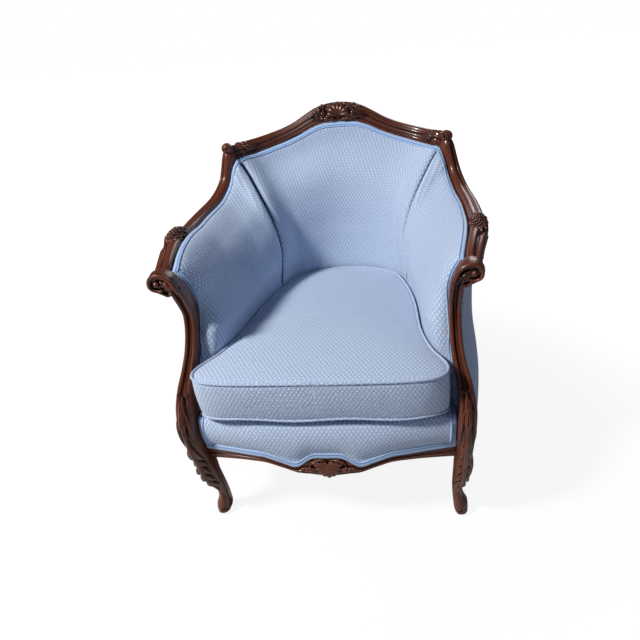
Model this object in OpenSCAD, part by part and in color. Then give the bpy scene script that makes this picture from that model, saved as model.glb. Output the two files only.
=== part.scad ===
// A tub-shaped club chair: a carved and moulded show-wood frame round a padded back and arms,
// with a sprung seat and a loose boxed cushion. The origin is on the floor, under the middle of
// the chair; the chair faces -Y, X runs across it and Z is up.

/* [Overall] */
// Width over the flowers on the arms
chair_w = 712; // [660:1:780]
// Depth from the front of the cushion to the back of the crest
chair_d = 712; // [670:1:770]
// Height of the carved crest
chair_h = 868; // [830:1:920]
// Height of the flowers on the arm rails
arm_h = 642; // [620:1:670]
// Height of the lower edge of the seat frame, as a share of the height of the cushion's top seam
leg_share = 0.486; // [0.45:0.002:0.52]

/* [Cushion] */
// Height of the top seam of the cushion
seat_h = 424; // [410:1:450]
// Height of the boxing between the two seams, as a share of the height of the top seam
boxing_share = 0.264; // [0.22:0.002:0.29]
// Rise of the crown above the top seam
crown_h = 22; // [12:1:32]
// Radius of the piping round each seam
welt_r = 3; // [2:0.25:4]
// Thickness of the cover cloth with its wadding
cover_t = 4; // [3:0.5:6]
// Gap between the cushion and the arms
side_gap = 4; // [3:0.5:8]
// Gap behind the cushion
back_gap = 10.5; // [9:0.5:14]
// Radius of the round back of the cushion
back_r = 186; // [176:1:196]
// Length of the zip along the back boxing, in degrees of the arc
zip_angle = 84; // [60:1:96]

/* [Show wood] */
// Width of the arm rail, from outside to inside
rail_w = 36; // [32:1:42]
// Height of the arm rail
rail_t = 30; // [26:1:34]
// Height of the crest rail beside the shell
crest_w = 34; // [30:1:40]
// Thickness of the crest rail, front to back
crest_t = 30; // [26:1:34]
// Width of the front post above the knee
post_w = 28; // [25:1:32]
// Depth of the front post above the knee
post_t = 38; // [34:1:42]
// Thickness of the serpentine front apron
apron_t = 28; // [24:1:34]
// Radius of the scroll at the end of each arm
scroll_r = 20; // [17:0.5:23]
// Radius of the carved flower on each arm
flower_r = 22; // [18:1:25]
// Width of the carved shell on the crest
shell_w = 116; // [90:2:130]

/* [Inner frame] */
// Thickness of the inner rails
inner_t = 26; // [20:1:30]
// Height of the seat rails, as a share of the height of the cushion's top seam
seat_rail_share = 0.156; // [0.13:0.002:0.18]
// Side of the rear post at the seat
rear_post_w = 34; // [30:1:38]
// Width of a jute strap
strap_w = 50; // [40:1:60]
// Thickness of a jute strap
strap_t = 2; // [1.5:0.5:3]
// Radius of a seat spring at its ends
spring_r = 38; // [30:1:42]
// Radius of the spring wire
wire_r = 1.8; // [1.4:0.1:2.4]

/* [Upholstery] */
// Thickness of the arm and back padding in the middle
pad_t = 26; // [20:1:30]
// Thickness of the padding at the wood
pad_edge_t = 6; // [4:0.5:8]
// Thickness of the outside cloth and its lining
outer_t = 4; // [3:0.5:5]
// Width of the braid along the wood
gimp_w = 12; // [9:0.5:14]
// Thickness of the braid
gimp_t = 2.4; // [1.8:0.2:3]
// Thickness of the padded deck under the cushion
deck_t = 13; // [10:1:16]
// Swell of the front border beyond the apron
border_swell = 15; // [10:1:20]

/* [Hidden] */

// Space between pieces that lie against each other
seat_gap = 0.3;
// How many steps the padded pieces and the wood beside them share
arm_steps = 18;
rise_steps = 12;
back_steps = 24;
front_steps = 32;
// Share of the rise at which the padding leaves the cushion's side
wall_share = 4 / 12;
half_w = chair_w / 2;
leg_h = seat_h * leg_share;
boxing_h = seat_h * boxing_share;
seat_rail_h = seat_h * seat_rail_share;
wood = "saddlebrown";
inner_wood = "burlywood";
cloth = "lightsteelblue";
braid = "cornflowerblue";

// Lengths, splines and frames

function unit(v) = v / norm(v);
function mix(a, b, t) = a + (b - a) * t;
function flip(p) = len(p) == 2 ? [-p[0], p[1]] : [-p[0], p[1], p[2]];
function reversed(list) = [for (i = [len(list) - 1:-1:0]) list[i]];

// A height given as 0 to 1 below the seat frame, 1 to 2 up to the arm, 2 to 3 up to the crest
function level(s) = lookup(s, [[0, 0], [1, leg_h], [2, arm_h], [3, chair_h]]);
function plan(p) = [p[0] * half_w, (p[1] - 0.5) * chair_d];
function place(p) = [p[0] * half_w, (p[1] - 0.5) * chair_d, level(p[2])];

function curve_step(a, b, c, d, t) =
    (2 * b + (c - a) * t + (2 * a - 5 * b + 4 * c - d) * t * t + (3 * b - a - 3 * c + d) * t * t * t) / 2;
// A smooth curve through the points, s running from 0 to 1
function spline(pts, s) =
    let (n = len(pts) - 1, k = min(n - 1, floor(s * n)), t = s * n - k)
    curve_step(k > 0 ? pts[k - 1] : 2 * pts[0] - pts[1], pts[k], pts[k + 1],
        k < n - 1 ? pts[k + 2] : 2 * pts[n] - pts[n - 1], t);
function tangent(pts, s) =
    let (e = 0.004) unit(spline(pts, min(s + e, 1)) - spline(pts, max(s - e, 0)));
// Frame at s: place, direction along, direction away from the cloth, direction across to the inside
function frame_at(pts, hints, s) =
    let (t = tangent(pts, s), away = unit(cross(t, spline(hints, s))))
        [spline(pts, s), t, away, cross(away, t)];
function in_frame(f, across, away) = f[0] + f[3] * across + f[2] * away;
function steps(n, from = 0, to = 1) = [for (i = [0:n]) mix(from, to, i / n)];

// A closed solid through rings that all have as many points, with flat ends
function side_faces(m, n, first = 0) =
    [for (i = [0:m - 2], j = [0:n - 1])
        let (a = first + i * n + j, b = first + i * n + (j + 1) % n) each [[a, a + n, b + n], [a, b + n, b]]];
module loft(rings) {
    m = len(rings);
    n = len(rings[0]);
    polyhedron([for (r = rings) each r],
        concat(side_faces(m, n), [[for (j = [0:n - 1]) j], [for (j = [n - 1:-1:0]) (m - 1) * n + j]]));
}
// The same where the ends are curved bands: each end is closed straight across its band
module band(rings) {
    m = len(rings);
    n = len(rings[0]);
    half = n / 2;
    last = (m - 1) * n;
    polyhedron([for (r = rings) each r],
        concat(side_faces(m, n), [for (j = [0:half - 2]) each [
            [j, j + 1, n - 2 - j], [j, n - 2 - j, n - 1 - j],
            [last + n - 2 - j, last + j + 1, last + j], [last + n - 1 - j, last + n - 2 - j, last + j]]]));
}
// A tube that closes on itself
module hoop(rings) {
    m = len(rings);
    n = len(rings[0]);
    polyhedron([for (r = rings) each r], [for (i = [0:m - 1], j = [0:n - 1])
        let (a = i * n + j, b = i * n + (j + 1) % n,
            c = ((i + 1) % m) * n + j, d = ((i + 1) % m) * n + (j + 1) % n)
        each [[a, c, d], [a, d, b]]]);
}

// A patch between four edges: bottom and top along u, front and rear along v
function patch(bottom, top, front, rear, u, v) =
    mix(bottom(u), top(u), v) + mix(front(v), rear(v), u)
    - mix(mix(bottom(0), bottom(1), u), mix(top(0), top(1), u), v);
// A wall beside the cushion with a patch above it; front and rear run the whole way up
function walled(low, seat, top, front, rear, u, v) = let (w = wall_share)
    v < w ? mix(low(u), seat(u), v / w) + (front(v) - mix(low(0), seat(0), v / w)) * pow(1 - u, 14)
    : patch(seat, top, function(t) front(mix(w, 1, t)), function(t) rear(mix(w, 1, t)), u, (v - w) / (1 - w));
// A padded sheet: one side on the patch, the other on a second patch, swollen between its edges
module padded(face, back, nu, nv) {
    band([for (u = steps(nu))
        concat([for (v = steps(nv)) face(u, v)], [for (v = steps(nv, 1, 0)) back(u, v)])]);
}
// A flat braid: its two edges, inner one first, and the direction in which each edge stands proud
braid_lift = seat_gap * 3;
module braid_strip(rows) {
    band([for (r = rows) let (
            mid = (r[0] + r[1]) / 2,
            up = unit(r[2] + r[3]),
            edge_t = braid_lift + gimp_t * 0.7)
        [r[0] + r[2] * edge_t, mid + up * (braid_lift + gimp_t), r[1] + r[3] * edge_t,
        r[1] + r[3] * braid_lift, mid + up * braid_lift, r[0] + r[2] * braid_lift]]);
}

// Outlines of the show wood, across and away from the cloth, as shares of half its size

rail_profile_shares = [
    [-0.84, -1], [0.84, -1], [1, -0.8], [1, -0.3], [0.84, -0.04], [0.9, 0.3], [0.66, 0.72],
    [0.38, 0.76], [0.2, 1], [-0.3, 1], [-0.44, 0.76], [-0.72, 0.76], [-0.96, 0.4], [-1, -0.4]
];
crest_profile_shares = [
    [-0.9, -1], [0.7, -1], [1, -0.86], [1, -0.6], [0.74, -0.46], [0.92, -0.2], [0.92, 0.1],
    [0.68, 0.24], [0.84, 0.5], [0.66, 0.84], [0.2, 1], [-0.5, 1], [-0.95, 0.7], [-1, -0.2]
];
post_profile_shares = [
    [-0.85, -1], [0.85, -1], [1, -0.8], [1, 0.1], [0.78, 0.75], [0.35, 1],
    [0.1, 0.72], [-0.1, 0.72], [-0.35, 1], [-0.78, 0.75], [-1, 0.1], [-1, -0.8]
];
function ring(f, profile, w, t) = [for (p = profile) in_frame(f, p[0] * w / 2, p[1] * t / 2)];

// Front post and leg, from the toe to the neck of the scroll

post_path_shares = [
    [0.812, 0.15, 0.02], [0.806, 0.148, 0.11], [0.79, 0.145, 0.25], [0.787, 0.135, 0.4], [0.798, 0.122, 0.54],
    [0.815, 0.11, 0.68], [0.826, 0.104, 0.82], [0.83, 0.1, 0.96], [0.836, 0.086, 1.07], [0.846, 0.082, 1.18],
    [0.85, 0.092, 1.27], [0.84, 0.112, 1.36], [0.815, 0.14, 1.455], [0.798, 0.168, 1.535],
    [0.792, 0.197, 1.63], [0.792, 0.21, 1.72], [0.796, 0.198, 1.8], [0.812, 0.182, 1.87], [0.84, 0.175, 1.915]
];
post_w_shares = [
    1.05, 1.15, 0.86, 0.84, 1.05, 1.36, 1.5, 1.25, 1.3, 1.43, 1.4, 1.2, 1, 0.96, 0.93, 0.93, 0.93, 0.9, 0.8
];
post_t_shares = [
    1.1, 1.1, 0.76, 0.68, 0.84, 1.05, 1.2, 1.15, 1.4, 1.5, 1.37, 1.16, 1, 0.95, 0.95, 1, 1.05, 1, 0.95
];
post_count = len(post_path_shares) - 1;
post_points = [for (p = post_path_shares) place(p)];
post_hints = [for (i = [0:post_count])
    i < post_count - 2 ? [-1, 0, 0] : i < post_count - 1 ? [-0.94, 0, 0.3] : [-0.8, 0, 0.6]];
// Places on the post where the deck and the top of the padded arm meet it
deck_share = 8.8 / post_count;
seat_share = 12.65 / post_count;
neck_share = 17.4 / post_count;
function post_rise(v) = v < wall_share ? mix(deck_share, seat_share, v / wall_share)
    : mix(seat_share, neck_share, (v - wall_share) / (1 - wall_share));
function post_frame(s) = frame_at(post_points, post_hints, s);
function post_ring(s) = ring(post_frame(s), post_profile_shares,
    post_w * spline(post_w_shares, s), post_t * spline(post_t_shares, s));
// A place behind the post, where the cloth ends, at a distance in from its inner side
function post_edge(s, inset, back = 0) = in_frame(post_frame(s),
    post_w * spline(post_w_shares, s) / 2 - inset, -post_t * spline(post_t_shares, s) / 2 - seat_gap - back);
function post_outer_edge(s, inset, back = 0) = in_frame(post_frame(s),
    inset - post_w * spline(post_w_shares, s) / 2, -post_t * spline(post_t_shares, s) / 2 - seat_gap - back);

glide_h = 4;
glide_r = 11;
scroll_centre = place([0.897, 0.17, 1.917]);
scroll_depth = post_t;
scroll_band_t = scroll_r * 0.5;

// The scroll: a raised band that curls in to an eye on a sunk disc
module scroll() {
    translate(scroll_centre) rotate([90, 0, 0]) {
        cylinder(r = scroll_r * 0.93, h = scroll_depth * 0.9, center = true, $fn = 28);
        cylinder(r = scroll_r * 0.36, h = scroll_depth * 0.98, center = true, $fn = 16);
    }
    turn = 400;
    loft([for (k = steps(20)) let (
            angle = 165 - turn * k,
            radius = mix(scroll_r - scroll_band_t / 2, scroll_r * 0.36, k),
            thick = mix(scroll_band_t, scroll_band_t * 0.36, k),
            out = [cos(angle), 0, sin(angle)])
        [for (c = [[1, -1], [1, 1], [-1, 1], [-1, -1]])
            scroll_centre + out * (radius + c[1] * thick / 2) + [0, c[0] * scroll_depth / 2, 0]]]);
}
// One lobe of a carved leaf, lying on the front of the post
module lobe(s, across_share, from_share, to_share, size) {
    hull() for (e = [[from_share, 1], [to_share, 0.45]]) let (
            f = post_frame(s + e[0]),
            w = post_w * spline(post_w_shares, s + e[0]) / 2,
            t = post_t * spline(post_t_shares, s + e[0]) / 2)
        translate(in_frame(f, across_share * w * (e[1] + 0.5),
            t * (1 - 0.34 * abs(across_share)) - size * e[1] / 2))
            sphere(r = size * e[1], $fn = 6);
}
leaf_size = post_w * 0.17;
module front_post() {
    rises = [for (v = steps(rise_steps)) post_rise(v)];
    loft([for (s = concat(steps(14, 0, 8.3 / post_count), rises, [1])) post_ring(s)]);
    scroll();
    for (side = [-0.7, 0, 0.7]) {
        lobe(10.4 / post_count, side, 0, -2.1 / post_count, leaf_size);
        lobe(6.9 / post_count, side, 0, -2 / post_count, leaf_size);
    }
    for (side = [-0.5, 0.5]) lobe(11.3 / post_count, side, 0, -1 / post_count, leaf_size);
}
module right_front_post() {
    color(wood) difference() {
        front_post();
        translate([0, 0, -chair_h / 2 + glide_h + seat_gap])
            cube([chair_w * 2, chair_d * 2, chair_h], center = true);
    }
}
module left_front_post() {
    mirror([1, 0, 0]) right_front_post();
}

// Arm rail, from the back of the scroll to the ear beside the crest

rail_path_shares = [
    [0.9, 0.205, 1.93], [0.903, 0.23, 1.945], [0.914, 0.264, 1.96], [0.932, 0.317, 1.975], [0.948, 0.375, 1.985],
    [0.952, 0.44, 1.99], [0.945, 0.52, 1.99], [0.925, 0.61, 2.02], [0.885, 0.708, 2.08], [0.855, 0.76, 2.165],
    [0.832, 0.79, 2.265], [0.813, 0.801, 2.39], [0.796, 0.806, 2.51], [0.788, 0.806, 2.6]
];
rail_hints = [
    [-1, 0, 0.15], [-1, 0, 0.2], [-1, 0, 0.25], [-1, 0, 0.3], [-1, -0.05, 0.3], [-1, -0.1, 0.3], [-1, -0.2, 0.25],
    [-1, -0.3, 0.2], [-1, -0.4, 0.12], [-0.95, -0.5, 0.1], [-0.9, -0.5, 0.08], [-0.87, -0.5, 0.05],
    [-0.86, -0.5, 0.05], [-0.86, -0.5, 0.05]
];
rail_w_shares = [0.95, 1, 1.03, 1.12, 1.22, 1.2, 1.12, 1.05, 1, 0.96, 0.93, 0.9, 0.9, 0.9];
rail_t_shares = [0.95, 0.95, 0.95, 1, 1.1, 1.1, 1.05, 1, 1, 1, 1, 1, 1, 1];
rail_points = [for (p = rail_path_shares) place(p)];
rail_from_share = 0.03;
corner_share = 0.88;
outer_corner_share = mix(rail_from_share, corner_share, (arm_steps + 1) / arm_steps);
arm_columns = steps(arm_steps + 1, rail_from_share, outer_corner_share);
function rail_frame(s) = frame_at(rail_points, rail_hints, s);
function rail_half_w(s) = rail_w * spline(rail_w_shares, s) / 2;
function rail_half_t(s) = rail_t * spline(rail_t_shares, s) / 2;
function rail_ring(s) = ring(rail_frame(s), rail_profile_shares, 2 * rail_half_w(s), 2 * rail_half_t(s));
function rail_edge(s, inset, down = 0) =
    in_frame(rail_frame(s), rail_half_w(s) - inset, -rail_half_t(s) - seat_gap - down);
function rail_outer_edge(s, inset, down = 0) =
    in_frame(rail_frame(s), inset - rail_half_w(s), -rail_half_t(s) - seat_gap - down);

flower_share = 0.33;
petals = 8;
module flower() {
    f = rail_frame(flower_share);
    centre = in_frame(f, rail_half_w(flower_share) * 0.35, rail_half_t(flower_share) * 0.8);
    out = unit(f[2] + f[3] * 0.6);
    across = unit(cross(f[1], out));
    petal_r = flower_r * 0.3;
    for (k = [0:petals - 1]) hull() for (e = [0.25, 0.8])
        translate(centre + (f[1] * cos(360 * k / petals) + across * sin(360 * k / petals)) * flower_r * e)
            sphere(r = petal_r * mix(0.6, 1, e), $fn = 6);
    translate(centre + out * petal_r * 0.6) sphere(r = petal_r * 1.1, $fn = 8);
}
module arm_rail() {
    loft([for (s = concat([0], arm_columns, [1])) rail_ring(s)]);
    flower();
    ear = spline(rail_points, 1);
    translate(ear) sphere(r = rail_half_t(1) * 0.98, $fn = 12);
}
module right_arm_rail() {
    color(wood) arm_rail();
}
module left_arm_rail() {
    mirror([1, 0, 0]) right_arm_rail();
}

// Crest rail, from the right ear to the left one

crest_half_shares = [
    [0.765, 0.825, 2.56], [0.725, 0.853, 2.566], [0.674, 0.885, 2.571], [0.604, 0.912, 2.588],
    [0.506, 0.934, 2.624], [0.416, 0.946, 2.664], [0.323, 0.955, 2.72], [0.24, 0.962, 2.785],
    [0.155, 0.967, 2.84], [0.076, 0.97, 2.864]
];
crest_end = in_frame(rail_frame(0.93), 0, -rail_half_t(0.93) - crest_t * 0.12);
back_from_share = 0.012;
back_columns = steps(back_steps, back_from_share, 1 - back_from_share);
crest_points = let (half = [for (i = [0:len(crest_half_shares) - 1])
        i == 0 ? [crest_end[0], crest_end[1], level(2.56)] : place(crest_half_shares[i])])
    concat(half, [place([0, 0.971, 2.87])], reversed([for (p = half) flip(p)]));
crest_w_half_shares = [0.95, 1, 1.04, 1, 0.97, 0.97, 1, 1.08, 1.25, 1.38];
crest_w_shares = concat(crest_w_half_shares, [1.42], reversed(crest_w_half_shares));
crest_lean_share = 0.14;
crest_hints = [for (i = [0:len(crest_points) - 1]) let (t = tangent(crest_points, i / (len(crest_points) - 1)))
    unit([-t[1], t[0], 0]) + [0, 0, crest_lean_share]];
function crest_frame(s) = frame_at(crest_points, crest_hints, s);
function crest_half_w(s) = crest_w * spline(crest_w_shares, s) / 2;
function crest_ring(s) = ring(crest_frame(s), crest_profile_shares, crest_t, 2 * crest_half_w(s));
function crest_edge(s, inset, down = 0) =
    in_frame(crest_frame(s), crest_t / 2 - inset, -crest_half_w(s) - seat_gap - down);
function crest_outer_edge(s, inset, down = 0) =
    in_frame(crest_frame(s), inset - crest_t / 2, -crest_half_w(s) - seat_gap - down);

crest_flutes = 7;
// Half of the angle that a shell's flutes spread over
flute_spread = 76;
// A fan of rounded flutes that spread from one point, half sunk in the wood
module shell(centre, right, up, out, width, height, count, spread) {
    for (k = [0:count - 1]) let (
            angle = mix(-spread, spread, k / (count - 1)),
            along = right * sin(angle) * width / 2 + up * cos(angle) * height,
            r = width / count * 0.42)
        hull() {
            translate(centre + along * 0.2 - out * r * 0.2) sphere(r = r * 0.45, $fn = 6);
            translate(centre + along * (1 - r / norm(along))) sphere(r = r, $fn = 6);
        }
}
module crest_rail() {
    f = crest_frame(0.5);
    hinge = in_frame(f, crest_t * 0.42, -crest_half_w(0.5) * 0.55);
    color(wood) {
        loft([for (s = concat([0], back_columns, [1])) crest_ring(s)]);
        shell(hinge, -f[1], f[2], f[3], shell_w * 0.66, crest_half_w(0.5) * 1.6, crest_flutes, flute_spread);
        for (side = [-1, 1]) hull() {
            translate(hinge + f[1] * side * shell_w * 0.22) sphere(r = crest_t * 0.16, $fn = 8);
            translate(in_frame(crest_frame(0.5 + side * 0.085), crest_t * 0.42, 0))
                sphere(r = crest_t * 0.2, $fn = 8);
        }
    }
}

// Plan outlines: the cushion and the outer shell of the chair

back_y = plan([0, 0.866])[1];
arc_y = back_y - back_r;
arc_steps = [90, 78, 66, 54, 42];
cushion_half_shares = [
    [0, 0.008], [0.267, 0.009], [0.5, 0.013], [0.63, 0.024], [0.705, 0.048], [0.728, 0.085], [0.702, 0.14],
    [0.66, 0.191], [0.618, 0.254], [0.584, 0.334], [0.562, 0.437], [0.539, 0.53], [0.505, 0.615], [0.462, 0.692]
];
cushion_half = concat([for (p = cushion_half_shares) plan(p)],
    [for (a = reversed(arc_steps)) [back_r * cos(a), arc_y + back_r * sin(a)]]);
cushion_outline_points = let (n = len(cushion_half) - 1)
    concat(cushion_half, [for (i = [n - 1:-1:0]) [-cushion_half[i][0], cushion_half[i][1]]]);
outline_last = len(cushion_outline_points) - 1;
function outline_at(i) = cushion_outline_points[(i + outline_last) % outline_last];
function outline_normal(i) = let (t = unit(outline_at(i + 1) - outline_at(i - 1))) [t[1], -t[0]];
// Control place i of the cushion's outline, moved outwards
function outline_out(i, d) = outline_at(i) + outline_normal(i) * d;
cushion_heart = [0, plan([0, 0.42])[1]];
arm_first = 6;
seam_index = 13;
back_index = len(cushion_half) - 1;
function with_z(p, z) = [p[0], p[1], z];

shell_plan_shares = [
    [0.88, 0.125], [0.9, 0.19], [0.916, 0.285], [0.922, 0.39], [0.914, 0.5], [0.89, 0.61], [0.85, 0.71],
    [0.795, 0.795], [0.715, 0.862], [0.6, 0.895], [0.4, 0.912], [0.2, 0.919], [0, 0.921]
];
shell_corner_share = 7.6 / 12;
shell_points = [for (p = shell_plan_shares) plan(p)];
function shell_at(s, inset = 0) =
    let (t = tangent(shell_points, s)) spline(shell_points, s) + [-t[1], t[0]] * inset;

// Heights of the seat

// Depth and half height of the groove that each piping lies in
groove = welt_r * 2.7;
groove_h = welt_r * 2.1;
cushion_bottom_z = seat_h - boxing_h - welt_r * 2;
deck_z = cushion_bottom_z - seat_gap;
rail_top_z = leg_h + seat_rail_h;
pad_bottom_z = rail_top_z + seat_gap * 2;
shell_bottom_z = leg_h - strap_t * 4;

// Padded back and arms

seam_upper_shares = [[0.464, 0.73, 1.72], [0.496, 0.742, 1.88], [0.562, 0.76, 2.035], [0.66, 0.805, 2.3]];
seam_across = outline_normal(seam_index);
seam_along = [-seam_across[1], seam_across[0]];
wall_top_z = seat_h + groove_h;
// The valley between arm and back, moved out from the seat and along towards the back
function seam_curve(out, along, top) = let (
        low = outline_out(seam_index, side_gap + out) + seam_along * along,
        upper = [for (p = seam_upper_shares) place(p) + with_z(seam_across * out + seam_along * along, 0)],
        pts = concat([with_z(low, wall_top_z)], upper, [top]))
    function(v) v < wall_share ? with_z(low, mix(pad_bottom_z, wall_top_z, v / wall_share))
        : spline(pts, (v - wall_share) / (1 - wall_share));
inset_face = 5;

arm_top = function(u) rail_edge(mix(rail_from_share, corner_share, u), inset_face);
arm_top_back = function(u) rail_edge(mix(rail_from_share, corner_share, u), inset_face + pad_edge_t);
// The front edge follows the post and bends over to meet the rail
function post_curve(inset, meet) = let (gap = meet - post_edge(neck_share, inset))
    function(v) post_edge(post_rise(v), inset) + gap * pow(v, 6);
arm_front = post_curve(inset_face, arm_top(0));
arm_front_back = post_curve(inset_face + pad_edge_t, arm_top_back(0));
arm_rear = seam_curve(0, -seat_gap, arm_top(1));
arm_rear_back = seam_curve(pad_edge_t, -seat_gap, arm_top_back(1));
function arm_level(front, rear, z, out) = let (pts = concat([front],
        [for (i = [arm_first + 1:seam_index - 1])
            with_z(outline_out(i, side_gap * (1 + max(0, arm_first + 2 - i)) + out), z)], [rear]))
    function(u) spline(pts, u);
arm_low = arm_level(arm_front(0), arm_rear(0), pad_bottom_z, 0);
arm_low_back = arm_level(arm_front_back(0), arm_rear_back(0), pad_bottom_z, pad_t);
arm_seat = arm_level(arm_front(wall_share), arm_rear(wall_share), wall_top_z, 0);
arm_seat_back = arm_level(arm_front_back(wall_share), arm_rear_back(wall_share), wall_top_z, pad_t);
arm_face = function(u, v) walled(arm_low, arm_seat, arm_top, arm_front, arm_rear, u, v);
arm_back = function(u, v) walled(arm_low_back, arm_seat_back, arm_top_back, arm_front_back, arm_rear_back, u, v);
module right_inside_arm() {
    color(cloth) padded(arm_face, arm_back, arm_steps, rise_steps);
}
module left_inside_arm() {
    mirror([1, 0, 0]) right_inside_arm();
}

back_top = function(u) crest_edge(mix(back_from_share, 1 - back_from_share, u), inset_face);
back_top_back = function(u) crest_edge(mix(back_from_share, 1 - back_from_share, u), inset_face + pad_edge_t);
back_right = seam_curve(0, seat_gap, back_top(0));
back_right_back = seam_curve(pad_edge_t, seat_gap, back_top_back(0));
back_left = function(v) flip(back_right(v));
back_left_back = function(v) flip(back_right_back(v));
function back_level(first, z, out) = let (
        half = [for (i = [seam_index + 1:back_index - 1]) with_z(outline_out(i, back_gap + out), z)],
        pts = concat([first], half, [with_z(outline_out(back_index, back_gap + out), z)],
            reversed([for (p = half) flip(p)]), [flip(first)]))
    function(u) spline(pts, u);
back_low = back_level(back_right(0), pad_bottom_z, 0);
back_low_back = back_level(back_right_back(0), pad_bottom_z, pad_t * 0.8);
back_seat = back_level(back_right(wall_share), wall_top_z, 0);
back_seat_back = back_level(back_right_back(wall_share), wall_top_z, pad_t * 0.8);
back_face = function(u, v) walled(back_low, back_seat, back_top, back_right, back_left, u, v);
back_back = function(u, v)
    walled(back_low_back, back_seat_back, back_top_back, back_right_back, back_left_back, u, v);
module inside_back() {
    color(cloth) padded(back_face, back_back, back_steps, rise_steps);
}

// Cloth outside the arms and the back

post_low_share = 7 / post_count;
shell_inset = 1;
function shell_edge(inset, meet) = let (
        low = post_outer_edge(post_low_share, inset),
        drop = with_z([0, 0], shell_bottom_z - low[2]),
        gap = meet - post_outer_edge(neck_share, inset))
    function(v) post_outer_edge(mix(post_low_share, neck_share, v), inset) + drop * pow(1 - v, 3) + gap * pow(v, 6);
function straight(from, to) = function(v) mix(from, to, v);
shell_top = function(u) rail_outer_edge(mix(rail_from_share, outer_corner_share, u), shell_inset);
shell_top_in = function(u) rail_outer_edge(mix(rail_from_share, outer_corner_share, u), shell_inset + outer_t);
shell_front = shell_edge(shell_inset, shell_top(0));
shell_front_in = shell_edge(shell_inset + outer_t, shell_top_in(0));
function shell_low(s, inset) = with_z(shell_at(s, inset), shell_bottom_z);
function shell_bottom(front, inset) = let (pts = concat([front], [for (i = [1:7]) shell_low(i / 12, inset)],
        [shell_low(shell_corner_share, inset)])) function(u) spline(pts, u);
arm_shell_bottom = shell_bottom(shell_front(0), 0);
arm_shell_bottom_in = shell_bottom(shell_front_in(0), outer_t);
shell_rear = straight(arm_shell_bottom(1), shell_top(1));
shell_rear_in = straight(arm_shell_bottom_in(1), shell_top_in(1));
shell_face = function(u, v) patch(arm_shell_bottom_in, shell_top_in, shell_front_in, shell_rear_in, u, v);
shell_back = function(u, v) patch(arm_shell_bottom, shell_top, shell_front, shell_rear, u, v);
module right_outside_arm() {
    color(cloth) padded(shell_face, shell_back, arm_steps + 1, 7);
}
module left_outside_arm() {
    mirror([1, 0, 0]) right_outside_arm();
}

// The outside back starts a hair past the corner, where the two cloths meet
function rear_top(inset) = function(u) crest_outer_edge(mix(back_from_share, 1 - back_from_share, u), inset);
function rear_bottom(inset) = let (
        half = [for (s = concat([shell_corner_share + 0.002], [for (i = [8:11]) i / 12])) shell_low(s, inset)],
        pts = concat(half, [shell_low(1, inset)], reversed([for (p = half) flip(p)])))
    function(u) spline(pts, u);
function rear_patch(inset) = let (top = rear_top(shell_inset + inset), bottom = rear_bottom(inset))
    function(u, v) patch(bottom, top, straight(bottom(0), top(0)), straight(bottom(1), top(1)), u, v);
rear_in = rear_patch(outer_t);
rear_out = rear_patch(0);
module outside_back() {
    color(cloth) padded(rear_in, rear_out, back_steps, 3);
}

// Serpentine apron under the front, with its shell

apron_half = post_frame(post_low_share)[0][0] - post_w * spline(post_w_shares, post_low_share) / 2 - seat_gap * 3;
apron_y_shares = [0.053, 0.053, 0.059, 0.075, 0.095];
apron_low_shares = [0.775, 0.8, 0.835, 0.905, 0.985, 1, 1.005, 1, 0.985];
apron_lip_shares = [1.04, 1.03, 0.925, 0.985, 1.055, 1.085, 1.12, 1.15, 1.17];
apron_rebate = 9;
apron_flutes = 7;
function apron_y(x) = plan([0, spline(apron_y_shares, abs(x) / apron_half)])[1];
function apron_low(x) = leg_h * spline(apron_low_shares, abs(x) / apron_half);
function apron_lip(x) = leg_h * spline(apron_lip_shares, abs(x) / apron_half);
// Outline of the apron: share of the visible strip, and depth behind its face as a share of the rebate
apron_face_shares = [[0, 0.6], [0.12, 0], [0.42, 0], [0.55, 0.35], [0.68, 0], [0.9, 0.1], [1, 0.5]];
function apron_ring(x) = let (low = apron_low(x), strip = apron_lip(x) - low, y = apron_y(x))
    concat([for (p = apron_face_shares) [x, y + p[1] * apron_rebate, low + p[0] * strip]],
        [[x, y + apron_rebate, low + strip], [x, y + apron_rebate, rail_top_z], [x, y + apron_t, rail_top_z],
        [x, y + apron_t, low + strip * 0.1]]);
module front_apron() {
    bottom = apron_low(0);
    color(wood) {
        loft([for (s = steps(front_steps)) apron_ring(mix(apron_half, -apron_half, s))]);
        shell(
            [0, apron_y(0) + apron_rebate * 0.2, apron_lip(0) - flower_r * 0.3],
            [1, 0, 0], [0, 0, -1], [0, -1, 0],
            flower_r * 4, apron_lip(0) - bottom - flower_r * 0.2, apron_flutes, flute_spread);
        for (side = [-1, 1]) hull() {
            translate([side * flower_r * 1.7, apron_y(0), mix(bottom, apron_lip(0), 0.45)])
                sphere(r = flower_r * 0.22, $fn = 8);
            translate([side * flower_r * 3.6, apron_y(0), mix(bottom, apron_lip(0), 0.3)])
                sphere(r = flower_r * 0.12, $fn = 8);
        }
    }
}

// Padded border above the apron

border_top_z = deck_z;
border_half = apron_half - gimp_t - seat_gap * 2;
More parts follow.
